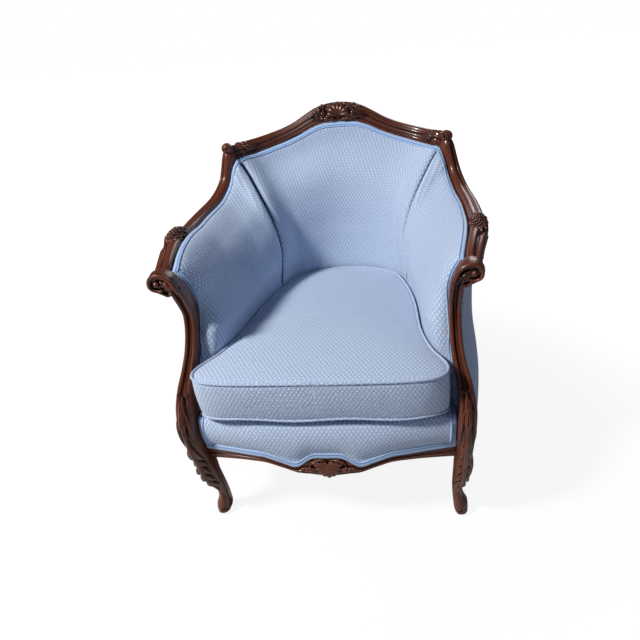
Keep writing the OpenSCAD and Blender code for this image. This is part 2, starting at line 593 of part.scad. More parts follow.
// Outline of the border: share of its rise, and how far it swells as a share of the full swell
border_face_shares = [[0.25, 0.8], [0.45, 1], [0.65, 1], [0.85, 0.75], [0.96, 0.3], [1, -0.3]];
border_back = apron_t + seat_gap * 6;
border_foot = apron_rebate * 0.45;
border_hem = border_swell * 0.4;
function border_x(s) = max(-border_half, min(border_half, mix(apron_half, -apron_half, s)));
function border_ring(x) = let (
        low = apron_lip(x) + seat_gap,
        rise = border_top_z - low,
        y = apron_y(x),
        side = min(1, (1 - abs(x) / border_half) * 12 + 0.6))
    concat([[x, y + apron_rebate - seat_gap, low], [x, y + border_foot, low]],
        [[x, y - border_hem, low + gimp_w + seat_gap]],
        [for (p = border_face_shares) [x, y - p[1] * border_swell * side, low + max(p[0] * rise, gimp_w * 1.3)]],
        [[x, y + border_back, border_top_z], [x, y + border_back, rail_top_z + seat_gap],
        [x, y + apron_rebate - seat_gap, rail_top_z + seat_gap]]);
module front_border() {
    color(cloth) loft([for (s = steps(front_steps)) border_ring(border_x(s))]);
}

// Braid along the wood

function patch_normal(face, u, v) = let (e = 0.02, a = face(min(u + e, 1), v) - face(max(u - e, 0), v),
    b = face(u, min(v + e, 1)) - face(u, max(v - e, 0))) unit(cross(b, a));
// A row of braid from a place on the edge of the patch, reaching in towards a second place
function braid_row(face, at, to, wide, proud) = let (
        edge = face(at[0], at[1]),
        into = unit(face(to[0], to[1]) - edge),
        start = edge + into * seat_gap)
    [start + into * wide, start, patch_normal(face, to[0], to[1]), proud];
reach_u = 1 / arm_steps;
reach_v = 1 / rise_steps;
function post_proud(v) = unit(mix(post_frame(post_rise(v))[3], rail_frame(rail_from_share)[3], pow(v, 6)));
arm_braid = concat(
    [for (v = steps(rise_steps - 1, 0, 1 - reach_v))
        braid_row(arm_face, [0, v], [reach_u, v], gimp_w, post_proud(v))],
    [braid_row(arm_face, [0, 1], [reach_u, 1 - reach_v], gimp_w * 1.3, post_proud(1))],
    [for (u = steps(arm_steps - 1, reach_u, 1)) let (s = mix(rail_from_share, corner_share, u))
        braid_row(arm_face, [u, 1], [u, 1 - reach_v], gimp_w, rail_frame(s)[3])]);
module right_arm_gimp() {
    color(braid) braid_strip(arm_braid);
}
module left_arm_gimp() {
    mirror([1, 0, 0]) right_arm_gimp();
}
module crest_gimp() {
    color(braid) braid_strip([for (u = steps(back_steps)) let (s = mix(back_from_share, 1 - back_from_share, u))
        braid_row(back_face, [u, 1], [u, 1 - reach_v], gimp_w, crest_frame(s)[3])]);
}
// The front braid runs down one side of the border, along the apron and up the other side
module front_gimp() {
    side_y = apron_y(apron_half) + apron_rebate - gimp_w / 2 - seat_gap * 2;
    proud = unit([0, -1, -0.5]);
    color(braid) {
        for (side = [-1, 1]) let (low = apron_lip(apron_half) + gimp_w + seat_gap * 3)
            translate([side * (border_half + seat_gap + gimp_t / 2), side_y, mix(low, border_top_z, 0.5)])
                cube([gimp_t, gimp_w, border_top_z - low], center = true);
        braid_strip([for (s = steps(front_steps, 1, 0))
            let (x = border_x(s), y = apron_y(x), z = apron_lip(x) + seat_gap)
            [[x, y - border_hem, z + gimp_w], [x, y + border_foot, z], proud, proud]]);
    }
}

// Seat frame behind the cloth

rail_inset = outer_t + seat_gap * 3;
function rail_plan(from, to, count, thick) = concat(
    [for (s = steps(count, from, to)) shell_at(s, rail_inset)],
    [for (s = steps(count, to, from)) shell_at(s, rail_inset + thick)]);
module right_seat_rail() {
    color(inner_wood) translate([0, 0, leg_h]) linear_extrude(seat_rail_h)
        polygon(rail_plan(0.017, 6.85 / 12, 14, inner_t));
}
module left_seat_rail() {
    mirror([1, 0, 0]) right_seat_rail();
}
// Half of an outline behind the cloth, from the corner to the middle, and its mirror image back again
function across_back(inset) = let (half = [for (s = steps(8, 8.55 / 12, 0.98)) shell_at(s, inset)])
    concat(half, reversed([for (p = half) flip(p)]));
module back_seat_rail() {
    color(inner_wood) translate([0, 0, leg_h]) linear_extrude(seat_rail_h)
        polygon(concat(across_back(rail_inset), reversed(across_back(rail_inset + inner_t))));
}

// Rear posts: a raked leg below, and a stile that thins to fit under the crest

rear_seat = shell_at(shell_corner_share, rail_inset + seat_gap * 4 + rear_post_w / 2);
rear_turn = let (t = tangent(shell_points, shell_corner_share)) atan2(t[1], t[0]);
rear_top_place = in_frame(crest_frame(0.035), -crest_t * 0.1, -crest_half_w(0.035) - seat_gap * 4);
rear_rake = chair_d * 0.1;
// Each row: place, width along the shell and depth across it, as shares of the post at the seat
rear_rows = [
    [rear_seat + [rear_rake * 0.1, rear_rake], glide_h + seat_gap, 0.7, 0.7],
    [rear_seat + [rear_rake * 0.06, rear_rake * 0.58], leg_h * 0.3, 0.76, 0.76],
    [rear_seat + [rear_rake * 0.02, rear_rake * 0.2], leg_h * 0.66, 0.9, 0.9],
    [rear_seat, leg_h * 0.97, 1, 1],
    [rear_seat, rail_top_z, 1, 1],
    [mix(rear_seat, rear_top_place, 0.35), mix(rail_top_z, rear_top_place[2], 0.35), 0.9, 0.75],
    [mix(rear_seat, rear_top_place, 0.75), mix(rail_top_z, rear_top_place[2], 0.75), 0.85, 0.42],
    [rear_top_place, rear_top_place[2], 0.75, 0.28]
];
function rear_ring(row) = let (
        along = [cos(rear_turn), sin(rear_turn)] * rear_post_w * row[2] / 2,
        across = [sin(rear_turn), -cos(rear_turn)] * rear_post_w * row[3] / 2)
    [for (c = [[-1, -0.8], [-0.8, -1], [0.8, -1], [1, -0.8], [1, 0.8], [0.8, 1], [-0.8, 1], [-1, 0.8]])
        let (p = [row[0][0], row[0][1]] + along * c[1] + across * c[0]) [p[0], p[1], row[1]]];
module right_rear_post() {
    color(wood) loft([for (row = rear_rows) rear_ring(row)]);
}
module left_rear_post() {
    mirror([1, 0, 0]) right_rear_post();
}

// Tack rails under the padded arms

tack_h = 30;
tack_t = 20;
tack_clear = seat_gap * 2;
// The rail lies just outside the padding at its own top
function tack_line(out) = [for (u = steps(arm_steps - 3, reach_u * 2, 1 - reach_u)) let (
        v = wall_share * tack_h / (wall_top_z - pad_bottom_z),
        p = arm_back(u, v),
        q = arm_back(u + reach_u, v),
        t = unit([q[0] - p[0], q[1] - p[1]]))
    [p[0], p[1]] + [t[1], -t[0]] * out];
module right_tack_rail() {
    color(inner_wood) translate([0, 0, pad_bottom_z]) linear_extrude(tack_h)
        polygon(concat(tack_line(tack_clear + tack_t), reversed(tack_line(tack_clear))));
}
module left_tack_rail() {
    mirror([1, 0, 0]) right_tack_rail();
}

// Corner blocks, glued and screwed inside the seat frame

block_w = 58;
block_h = 40;
block_z = rail_top_z - block_h - strap_t;
screw_r = 2.2;
screw_head_r = 4.4;
screw_l = 40;
front_corner = [
    shell_at(0.02, rail_inset + inner_t)[0] - seat_gap * 3,
    apron_y(apron_half) + apron_t + seat_gap
];
function block_plan() =
    [front_corner + [0, seat_gap * 4], front_corner + [0, block_w], front_corner + [-block_w, 0]];
screw_from = front_corner + [-block_w * 0.42, block_w * 0.42];
module block_screw() {
    translate(with_z(screw_from, block_z + block_h / 2)) rotate([0, 90, 0]) {
        cylinder(r = screw_r, h = screw_l, $fn = 16);
        translate([0, 0, -screw_head_r / 2]) cylinder(r = screw_head_r, h = screw_head_r / 2, $fn = 16);
    }
}
module both_sides() {
    children();
    mirror([1, 0, 0]) children();
}
rear_block_w = rear_post_w * 1.1;
module corner_blocks() {
    color(inner_wood) {
        both_sides() difference() {
            translate([0, 0, block_z]) linear_extrude(block_h) polygon(block_plan());
            translate(with_z(screw_from, block_z + block_h / 2)) rotate([0, 90, 0]) {
                translate([0, 0, -block_w]) cylinder(r = screw_head_r + seat_gap, h = block_w, $fn = 16);
                cylinder(r = screw_r + seat_gap, h = screw_l, $fn = 16);
            }
        }
        both_sides() translate(with_z(rear_seat, block_z)) rotate([0, 0, rear_turn])
            translate([-rear_block_w / 2, rear_post_w / 2 + seat_gap, 0]) cube([rear_block_w, inner_t, block_h]);
    }
}
module block_screws() {
    color("silver") both_sides() block_screw();
}

// Jute webbing, springs, twine and deck

shell_xs = [for (s = steps(48)) let (p = shell_at(s, rail_inset + inner_t)) [p[1], p[0]]];
function inner_half_w(y) = lookup(y, shell_xs);
weave_z = leg_h - seat_gap - strap_t * 2.2;
warp_x_shares = [-0.45, -0.15, 0.15, 0.45];
weft_y_shares = [0.24, 0.38, 0.52, 0.66];
weave_pitch = strap_t + seat_gap / 2;
module seat_webbing() {
    warp_end = shell_at(1, rail_inset + inner_t * 0.4)[1];
    color("tan") {
        for (k = [0:3]) let (x = warp_x_shares[k] * half_w, from = apron_y(x) + apron_t + seat_gap * 2)
            translate([x - strap_w / 2, from, weave_z])
                cube([strap_w, warp_end - from - (k % 3 == 0 ? 1 : 0) * inner_t * 0.3, strap_t]);
        for (j = [0:3]) let (
                y = plan([0, weft_y_shares[j]])[1],
                end = inner_half_w(y) + inner_t * 0.5,
                high = function(k) weave_pitch * ((j + k) % 2 == 0 ? 1 : -1),
                line = concat([[-end, weave_pitch], [warp_x_shares[0] * half_w - strap_w, weave_pitch]],
                    [for (k = [0:3]) each [[warp_x_shares[k] * half_w - strap_w / 2 - weave_pitch, high(k)],
                        [warp_x_shares[k] * half_w + strap_w / 2 + weave_pitch, high(k)]]],
                    [[warp_x_shares[3] * half_w + strap_w, weave_pitch], [end, weave_pitch]]))
            translate([0, y + strap_w / 2, weave_z]) rotate([90, 0, 0]) linear_extrude(strap_w)
                polygon(concat(line, reversed([for (p = line) [p[0], p[1] + strap_t]])));
    }
}

burlap_t = 1.5;
twine_r = 1;
burlap_z = deck_z - deck_t - seat_gap - burlap_t;
spring_foot_z = weave_z + weave_pitch + strap_t + seat_gap;
spring_top_z = burlap_z - twine_r * 4 - seat_gap * 3;
spring_turns = 3.5;
spring_steps = 28;
// Turns at each end that lie flat
flat_turns = 0.75;
spring_x_shares = [-0.31, 0, 0.31];
spring_y_shares = [0.27, 0.45, 0.63];
waist_share = 0.66;
function spring_place(k) = let (
        a = 360 * spring_turns * k,
        r = spring_r * mix(waist_share, 1, pow(cos(180 * k), 2)),
        rise = spring_top_z - spring_foot_z - wire_r * 2,
        climb = (k * spring_turns - flat_turns) / (spring_turns - flat_turns * 2))
    [r * cos(a), r * sin(a), wire_r + rise * max(0, min(1, climb))];
module spring() {
    points = [for (k = steps(spring_steps)) spring_place(k)];
    loft([for (i = [0:spring_steps]) let (
            t = unit(points[min(i + 1, spring_steps)] - points[max(i - 1, 0)]),
            out = unit([points[i][0], points[i][1], 0]),
            side = cross(t, out))
        [for (a = [90, 210, 330]) points[i] + out * wire_r * cos(a) + side * wire_r * sin(a)]]);
}
module seat_springs() {
    color("silver") for (x = spring_x_shares, y = spring_y_shares)
        translate(with_z([x * half_w, plan([0, y])[1]], spring_foot_z)) spring();
}
module spring_twine() {
    z = spring_top_z + twine_r + seat_gap;
    front = apron_y(0) + apron_t * 1.3;
    rear = shell_at(1, rail_inset + inner_t * 1.3)[1];
    color("wheat") {
        for (x = spring_x_shares) translate([x * half_w, front, z]) rotate([-90, 0, 0])
            cylinder(r = twine_r, h = rear - front - inner_t * 2, $fn = 16);
        for (y = spring_y_shares) let (across_y = plan([0, y])[1], half = inner_half_w(across_y) * 0.62)
            translate([-half, across_y, z + twine_r * 2 + seat_gap]) rotate([0, 90, 0])
                cylinder(r = twine_r, h = half * 2, $fn = 16);
    }
}

deck_inset = seat_gap * 3;
// The deck fills the plan of the padding, a hair inside it
deck_plan = let (
        inside = function(p) let (q = [p[0], p[1]] - cushion_heart) cushion_heart + q * (1 - deck_inset / norm(q)),
        arm = [for (u = steps(arm_steps - 2, reach_u * 2, 1)) inside(arm_low(u))],
        rear = [for (u = steps(back_steps, 1 / back_steps, 1 - 1 / back_steps)) inside(back_low(u))],
        deck_half = apron_half * 0.86,
        front = [for (x = steps(12, -deck_half, deck_half)) [x, apron_y(x) + border_back + deck_inset]])
    concat(front, arm, rear, reversed([for (p = arm) flip(p)]));
module seat_burlap() {
    color("tan") translate([0, 0, burlap_z]) linear_extrude(burlap_t) polygon(deck_plan);
}
module seat_deck() {
    color(cloth) translate([0, 0, deck_z - deck_t]) linear_extrude(deck_t) polygon(deck_plan);
}
module dust_cover() {
    side = [for (s = steps(10, 0.05, 6.2 / 12)) shell_at(s, rail_inset + inner_t * 0.3)];
    rear = [for (s = steps(4, 9.3 / 12, 0.99)) shell_at(s, rail_inset + inner_t * 0.3)];
    half = concat(side, rear);
    notch = rear_post_w + seat_gap * 2;
    color("dimgray") translate([0, 0, weave_z - strap_t * 2 - seat_gap * 2]) difference() {
        linear_extrude(burlap_t / 2) polygon(concat(half, reversed([for (p = half) flip(p)])));
        both_sides() translate(with_z(rear_seat + [0, seat_gap], 0)) rotate([0, 0, rear_turn])
            cube([notch, notch, strap_t * 2], center = true);
    }
}

// Straps that carry the back padding, from the seat rail to the crest

back_strap_shares = [0.36, 0.5, 0.64];
module back_webbing() {
    half_share = strap_w / 2 / chair_w;
    inwards = [0, -seat_gap, 0];
    thick = [0, -strap_t, 0];
    color("tan") for (u = back_strap_shares) let (
            sides = [u - half_share, u + half_share],
            foot_v = function(w)
                (rail_top_z + seat_gap - rear_in(w, 0)[2]) / (rear_in(w, 1)[2] - rear_in(w, 0)[2]),
            foot = [for (w = sides) rear_in(w, foot_v(w)) + inwards],
            head = [for (w = sides) rear_in(w, 0.998) + inwards])
        loft([for (p = [head, foot]) [p[0], p[0] + thick, p[1] + thick, p[1]]]);
}

// Glides under the four feet

module foot_glides() {
    color("silver") both_sides() {
        translate([post_points[0][0], post_points[0][1], 0]) cylinder(r = glide_r, h = glide_h, $fn = 32);
        translate(with_z(rear_rows[0][0], 0)) cylinder(r = glide_r * 0.9, h = glide_h, $fn = 32);
    }
}

// Loose cushion: cover, base panel, foam core, piping and zip

outline_steps = 54;
function outline(s, out) = let (
        k = floor(s * outline_last),
        t = s * outline_last - k,
        at = function(i) outline_at(i),
        p = curve_step(at(k - 1), at(k), at(k + 1), at(k + 2), t),
        n = unit(mix(outline_normal(k), outline_normal(k + 1), t)))
    p + n * out;
function cushion_ring(out, z, size = 1) = [for (i = [0:outline_steps - 1])
    with_z(mix(cushion_heart, outline(i / outline_steps, out), size), z)];
box_swell = 3;
top_seam_z = seat_h;
bottom_seam_z = seat_h - boxing_h;
function crown_z(size) = crown_h * (1 - pow(size, 2.4));
function boxing_rings(out) = [
    cushion_ring(out - groove, bottom_seam_z),
    cushion_ring(out, bottom_seam_z + groove_h),
    cushion_ring(out + box_swell, bottom_seam_z + boxing_h * 0.32),
    cushion_ring(out + box_swell, bottom_seam_z + boxing_h * 0.68),
    cushion_ring(out, top_seam_z - groove_h),
    cushion_ring(out - groove, top_seam_z)
];
function crown_rings(out, z, sizes) = [for (s = sizes) cushion_ring(out, z + crown_z(s), s)];
module dome(rings, first, last) {
    m = len(rings);
    n = len(rings[0]);
    end = (m - 1) * n;
    polyhedron(concat([for (r = rings) each r], [first, last]), concat(side_faces(m, n),
        [for (j = [0:n - 1]) [m * n, j, (j + 1) % n]],
        [for (j = [0:n - 1]) [end + j, m * n + 1, end + (j + 1) % n]]));
}
module seat_cushion() {
    inner = -cover_t - groove;
    inner_top = top_seam_z - cover_t;
    inner_rings = [
        cushion_ring(inner, inner_top + crown_z(0.45), 0.45),
        cushion_ring(inner, inner_top + crown_z(0.8), 0.8),
        cushion_ring(inner, inner_top - seat_gap),
        cushion_ring(inner, bottom_seam_z)
    ];
    outer_rings = concat(boxing_rings(0), [cushion_ring(-welt_r * 0.8, top_seam_z + groove_h)],
        crown_rings(-welt_r * 0.8, top_seam_z + groove_h, [0.9, 0.74, 0.5, 0.24]));
    color(cloth) difference() {
        dome(concat(inner_rings, outer_rings), with_z(cushion_heart, inner_top + crown_h),
            with_z(cushion_heart, top_seam_z + groove_h + crown_h));
        arc_band(zip_r - seat_gap, zip_sunk + box_swell, zip_w + seat_gap * 2, zip_angle + seat_gap);
    }
}
module cushion_core() {
    inner = -cover_t - groove - seat_gap * 2;
    top = top_seam_z - cover_t - seat_gap * 2;
    color("ivory") dome([
            cushion_ring(inner, bottom_seam_z + seat_gap, 0.02),
            cushion_ring(inner, bottom_seam_z + seat_gap),
            cushion_ring(inner, top - seat_gap * 2),
            cushion_ring(inner, top - seat_gap + crown_z(0.8), 0.8),
            cushion_ring(inner, top - seat_gap + crown_z(0.45), 0.45)],
        with_z(cushion_heart, bottom_seam_z + seat_gap), with_z(cushion_heart, top - seat_gap + crown_h * 0.99));
}
module cushion_base() {
    thick = bottom_seam_z - seat_gap - cushion_bottom_z;
    color(cloth) translate([0, 0, cushion_bottom_z]) linear_extrude(thick)
        polygon([for (p = cushion_ring(-groove * 1.1, 0)) [p[0], p[1]]]);
}
welt_sides = 5;
module welt(z) {
    hoop([for (i = [0:outline_steps - 1]) let (
            s = i / outline_steps,
            p = outline(s, -welt_r * 0.95),
            q = outline(s, 0),
            n = unit([q[0] - p[0], q[1] - p[1], 0]))
        [for (a = steps(welt_sides - 1, 0, 360 - 360 / welt_sides))
            with_z(p, z) + [0, 0, 1] * welt_r * cos(a) + n * welt_r * sin(a)]]);
}
module top_welt() {
    color(cloth) welt(top_seam_z);
}
module bottom_welt() {
    color(cloth) welt(bottom_seam_z);
}
zip_t = 1.2;
zip_w = 26;
coil_w = 5;
coil_t = 1.2;
// The zip lies in a recess of the boxing, flush with it
zip_sunk = zip_t + coil_t + seat_gap;
zip_r = back_r + box_swell + seat_gap - zip_sunk;
zip_z = mix(bottom_seam_z, top_seam_z, 0.5);
module arc_band(r, t, w, angle) {
    translate([0, arc_y, zip_z]) rotate([0, 0, 90 - angle / 2])
        rotate_extrude(angle = angle, $fn = 96) translate([r, -w / 2]) square([t, w]);
}
module cushion_zip() {
    color("steelblue") {
        arc_band(zip_r, zip_t, zip_w, zip_angle);
        arc_band(zip_r + zip_t, coil_t, coil_w, zip_angle * 0.94);
    }
}
slider_t = 1.4;
slider_l = 9;
module zip_slider() {
    reach_r = zip_r + zip_t + coil_t + seat_gap;
    color("silver") translate([0, arc_y, zip_z])
        rotate([0, 0, 90 - zip_angle * 0.44]) translate([reach_r, 0, 0]) {
        translate([0, -slider_l / 2, -coil_w]) cube([slider_t, slider_l, coil_w * 2]);
    }
}

crest_rail();
left_arm_rail();
right_arm_rail();
left_front_post();
right_front_post();
front_apron();
left_seat_rail();
right_seat_rail();
back_seat_rail();
left_rear_post();
right_rear_post();
left_tack_rail();
right_tack_rail();
corner_blocks();
block_screws();
seat_webbing();
seat_springs();
spring_twine();
seat_burlap();
seat_deck();
front_border();
back_webbing();
inside_back();
left_inside_arm();
right_inside_arm();
left_outside_arm();
right_outside_arm();
outside_back();
crest_gimp();
left_arm_gimp();
right_arm_gimp();
front_gimp();
seat_cushion();
cushion_base();
cushion_core();
top_welt();
bottom_welt();
cushion_zip();
zip_slider();
dust_cover();
foot_glides();
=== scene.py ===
import math
import bmesh
import bpy
import numpy as np
from mathutils import Matrix, Vector
from mathutils.bvhtree import BVHTree


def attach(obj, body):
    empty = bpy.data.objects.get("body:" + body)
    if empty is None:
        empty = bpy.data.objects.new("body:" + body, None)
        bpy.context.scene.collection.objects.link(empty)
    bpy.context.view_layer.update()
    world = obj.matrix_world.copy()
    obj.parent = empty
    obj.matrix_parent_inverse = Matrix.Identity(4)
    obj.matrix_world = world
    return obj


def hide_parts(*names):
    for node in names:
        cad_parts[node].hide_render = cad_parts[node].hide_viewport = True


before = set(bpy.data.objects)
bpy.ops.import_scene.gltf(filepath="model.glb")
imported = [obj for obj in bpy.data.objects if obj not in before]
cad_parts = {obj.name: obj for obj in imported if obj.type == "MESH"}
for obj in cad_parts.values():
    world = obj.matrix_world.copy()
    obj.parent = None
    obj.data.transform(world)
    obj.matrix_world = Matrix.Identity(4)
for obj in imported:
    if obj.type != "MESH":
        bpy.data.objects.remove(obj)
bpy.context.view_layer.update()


# Studio
# The camera stands in front of the chair, a little to the right, and looks down at the seat. A lamp half a
# metre wide on the upper left gives the main light; a weak wide one, one behind and an even sky do the rest.
# The floor is pale and fades into a white background.

camera_data = bpy.data.cameras.new("camera")
camera_data.sensor_width = 36
camera_data.lens = 33.74
camera_data.shift_x = -0.0838
camera_data.shift_y = -0.0039
camera = bpy.data.objects.new("camera", camera_data)
camera_place = (0.2456, -1.3228, 1.0609)
view_line, view_up = Vector((-0.1057, 0.8871, -0.4493)), Vector((0.0283, 0.4543, 0.8904))
look = view_line.normalized()
side = look.cross(view_up).normalized()
camera.matrix_world = Matrix.Translation(camera_place) @ Matrix(
    (side, side.cross(look), -look)).transposed().to_4x4()
bpy.context.scene.collection.objects.link(camera)
bpy.context.scene.camera = camera
bpy.context.scene.view_settings.view_transform = "Standard"


def linear(hex_colour):
    """An sRGB hex colour as the linear values that a shader takes."""
    parts = [int(hex_colour[i:i + 2], 16) / 255 for i in (1, 3, 5)]
    return tuple(p / 12.92 if p <= 0.04045 else ((p + 0.055) / 1.055) ** 2.4 for p in parts) + (1,)


def add_node(tree, kind, settings=None, links=None):
    """Adds a node; links give each input a value or another node's output."""
    node = tree.nodes.new(kind)
    for key, value in (settings or {}).items():
        setattr(node, key, value)
    for key, value in (links or {}).items():
        if isinstance(value, bpy.types.NodeSocket):
            tree.links.new(value, node.inputs[key])
        else:
            node.inputs[key].default_value = value
    return node


def new_finish(name):
    """An empty material and its node tree."""
    finish = bpy.data.materials.new(name)
    finish.use_nodes = True
    finish.node_tree.nodes.clear()
    return finish, finish.node_tree


def add_lamp(name, place, aim, size, watts, colour):
    data = bpy.data.lights.new(name, "AREA")
    data.size, data.energy, data.color = size, watts, colour
    lamp = bpy.data.objects.new(name, data)
    lamp.location = place
    lamp.rotation_euler = (Vector(aim) - Vector(place)).to_track_quat("-Z", "Y").to_euler()
    bpy.context.scene.collection.objects.link(lamp)


add_lamp("key_lamp", (-1.78, -1.46, 2.65), (0, 0, 0.4), 0.5, 118, (1, 0.98, 0.93))
add_lamp("fill_lamp", (1.9, -1.8, 1.3), (0, 0, 0.4), 1.6, 2, (0.82, 0.91, 1))
add_lamp("back_lamp", (0.6, 2.2, 1.9), (0, 0, 0.5), 1.2, 16, (1, 1, 1))

sky = bpy.data.worlds.new("sky")
sky.use_nodes = True
sky.node_tree.nodes.clear()
ray = add_node(sky.node_tree, "ShaderNodeLightPath")
seen = add_node(sky.node_tree, "ShaderNodeMath", {"operation": "MAXIMUM"},
                {0: ray.outputs["Is Camera Ray"], 1: ray.outputs["Is Transmission Ray"]})
plain_sky = add_node(sky.node_tree, "ShaderNodeBackground", {},
                     {"Color": linear("#b4d0ff"), "Strength": 0.11})
white_sky = add_node(sky.node_tree, "ShaderNodeBackground", {}, {"Color": (1, 1, 1, 1), "Strength": 1.0})
both = add_node(sky.node_tree, "ShaderNodeMixShader", {},
                {0: seen.outputs[0], 1: plain_sky.outputs[0], 2: white_sky.outputs[0]})
add_node(sky.node_tree, "ShaderNodeOutputWorld", {}, {"Surface": both.outputs[0]})
bpy.context.scene.world = sky

floor_finish, tree = new_finish("pale_floor")
ray = add_node(tree, "ShaderNodeLightPath")
matt = add_node(tree, "ShaderNodeBsdfDiffuse", {}, {"Color": linear("#cccccc")})
glow = add_node(tree, "ShaderNodeEmission", {}, {"Color": (1, 1, 1, 1), "Strength": 1.12})
spot = add_node(tree, "ShaderNodeTexCoord")
far = add_node(tree, "ShaderNodeVectorMath", {"operation": "LENGTH"}, {0: spot.outputs["Object"]})
share = add_node(tree, "ShaderNodeMapRange", {"interpolation_type": "SMOOTHSTEP"},
                 {"Value": far.outputs["Value"], "From Min": 0.6, "From Max": 1.5,
                  "To Min": 0.8, "To Max": 1.0})
faint = add_node(tree, "ShaderNodeMixShader", {},
                 {0: share.outputs[0], 1: matt.outputs[0], 2: glow.outputs[0]})
shown = add_node(tree, "ShaderNodeMixShader", {},
                 {0: ray.outputs["Is Camera Ray"], 1: matt.outputs[0], 2: faint.outputs[0]})
add_node(tree, "ShaderNodeOutputMaterial", {}, {"Surface": shown.outputs[0]})
floor_mesh = bpy.data.meshes.new("floor")
floor_mesh.from_pydata([(-20, -20, 0), (20, -20, 0), (20, 20, 0), (-20, 20, 0)], [], [(0, 1, 2, 3)])
floor_mesh.materials.append(floor_finish)
floor = bpy.data.objects.new("floor", floor_mesh)
bpy.context.scene.collection.objects.link(floor)


# Inner seat frame
# Plain sawn beech rails, tack rails and corner blocks inside the cloth, glued, with screws in the front
# blocks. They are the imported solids; the grain lies level, in streaks about 2 mm high and 25 mm long.


def add_surface(tree, looks, height=None, strength=0.3, depth=0.0006):
    """Ends a finish in its shader; a height gives it a fine relief, this many metres deep."""
    if height is not None:
        dent = add_node(tree, "ShaderNodeBump", {},
                        {"Height": height, "Strength": strength, "Distance": depth})
        looks = {**looks, "Normal": dent.outputs[0]}
    shader = add_node(tree, "ShaderNodeBsdfPrincipled", {}, looks)
    add_node(tree, "ShaderNodeOutputMaterial", {}, {"Surface": shader.outputs[0]})


sawn_beech, tree = new_finish("sawn_beech")
spot = add_node(tree, "ShaderNodeTexCoord")
along = add_node(tree, "ShaderNodeMapping", {}, {"Vector": spot.outputs["Object"], "Scale": (40, 40, 420)})
grain = add_node(tree, "ShaderNodeTexNoise", {},
                 {"Vector": along.outputs[0], "Scale": 1.0, "Detail": 5.0, "Roughness": 0.6})
tone = add_node(tree, "ShaderNodeMix", {"data_type": "RGBA"},
                {0: grain.outputs["Fac"], 6: linear("#b58a5c"), 7: linear("#dcb988")})
add_surface(tree, {"Base Color": tone.outputs[2], "Roughness": 0.72}, grain.outputs["Fac"], 0.3, 0.0008)


def dress(finish, *nodes):
    """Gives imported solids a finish."""
    for name in nodes:
        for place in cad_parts[name].material_slots:
            place.material = finish


dress(sawn_beech, "left_seat_rail", "right_seat_rail", "back_seat_rail", "left_tack_rail", "right_tack_rail",
      "corner_blocks")

# Zinc-plated wood screws in the blocks, drawn spring wire and pressed glides under the feet: one bright
# steel, mottled in specks about 1 mm wide.
drawn_steel, tree = new_finish("drawn_steel")
spot = add_node(tree, "ShaderNodeTexCoord")
streak = add_node(tree, "ShaderNodeTexNoise", {},
                  {"Vector": spot.outputs["Object"], "Scale": 900.0, "Detail": 3.0})
tone = add_node(tree, "ShaderNodeMix", {"data_type": "RGBA"},
                {0: streak.outputs["Fac"], 6: linear("#8a8883"), 7: linear("#c2c0bc")})
rub = add_node(tree, "ShaderNodeMapRange", {},
               {"Value": streak.outputs["Fac"], "To Min": 0.28, "To Max": 0.5})
add_surface(tree, {"Base Color": tone.outputs[2], "Metallic": 1.0, "Roughness": rub.outputs[0]})
dress(drawn_steel, "block_screws", "seat_springs", "foot_glides")


# Webbing, twine and burlap
# Jute straps woven under the seat and up the back, twine that ties the springs, and burlap over them.
# Jute is a coarse plain weave of fuzzy golden yarn, about 3 mm from thread to thread.

plain_jute, tree = new_finish("woven_jute")
spot = add_node(tree, "ShaderNodeTexCoord")
threads = []
for direction in ("X", "Y", "Z"):
    wave = add_node(tree, "ShaderNodeTexWave", {"wave_type": "BANDS", "bands_direction": direction},
                    {"Vector": spot.outputs["Object"], "Scale": 105.0, "Distortion": 1.5, "Detail": 2.0})
    threads.append(wave.outputs["Fac"])
cross = add_node(tree, "ShaderNodeMath", {"operation": "MULTIPLY"}, {0: threads[0], 1: threads[1]})
mesh_of_threads = add_node(tree, "ShaderNodeMath", {"operation": "MAXIMUM"},
                           {0: cross.outputs[0], 1: threads[2]})
tone = add_node(tree, "ShaderNodeMix", {"data_type": "RGBA"},
                {0: mesh_of_threads.outputs[0], 6: linear("#8d6d42"), 7: linear("#cdae7c")})
add_surface(tree, {"Base Color": tone.outputs[2], "Roughness": 0.9, "Sheen Weight": 0.3},
            mesh_of_threads.outputs[0], 0.6, 0.001)
dress(plain_jute, "seat_webbing", "back_webbing", "seat_burlap", "spring_twine")


# Crest rail
# The top rail of the back, carved from one piece of mahogany: three parallel ridges and a thin inner bead,
# a shell in the middle between leaves, and a knuckle at each end. Its ends meet the arm rails' ears.

chair_w, chair_d, chair_h, arm_h = 712, 712, 868, 642
seat_h = 424
leg_h = seat_h * 0.486
half_w = chair_w / 2
gap = 0.3


def level(share):
    """A height given as 0 to 1 below the seat frame, 1 to 2 up to the arm, 2 to 3 up to the crest."""
    return np.interp(share, [0, 1, 2, 3], [0, leg_h, arm_h, chair_h])


def place(share):
    return np.array([share[0] * half_w, (share[1] - 0.5) * chair_d, level(share[2])])


def unit(v):
    return v / np.linalg.norm(v, axis=-1, keepdims=True)


def mix(a, b, t):
    return a + (b - a) * t


def curve_step(a, b, c, d, t):
    """The place at t, 0 to 1, from b to c on a smooth curve through four points."""
    return (2 * b + (c - a) * t + (2 * a - 5 * b + 4 * c - d) * t ** 2 + (3 * b - a - 3 * c + d) * t ** 3) / 2


def spline(points, s):
    """A smooth curve through the points; s runs from 0 to 1 and may be a list."""
    p = np.asarray(points, float)
    p = p.reshape(len(p), -1)
    last = len(p) - 1
    s = np.asarray(s, float)
    k = np.clip((s * last).astype(int), 0, last - 1)
    t = (s * last - k)[..., None]
    q = np.vstack([2 * p[0] - p[1], p, 2 * p[-1] - p[-2]])
    return curve_step(q[k], q[k + 1], q[k + 2], q[k + 3], t)


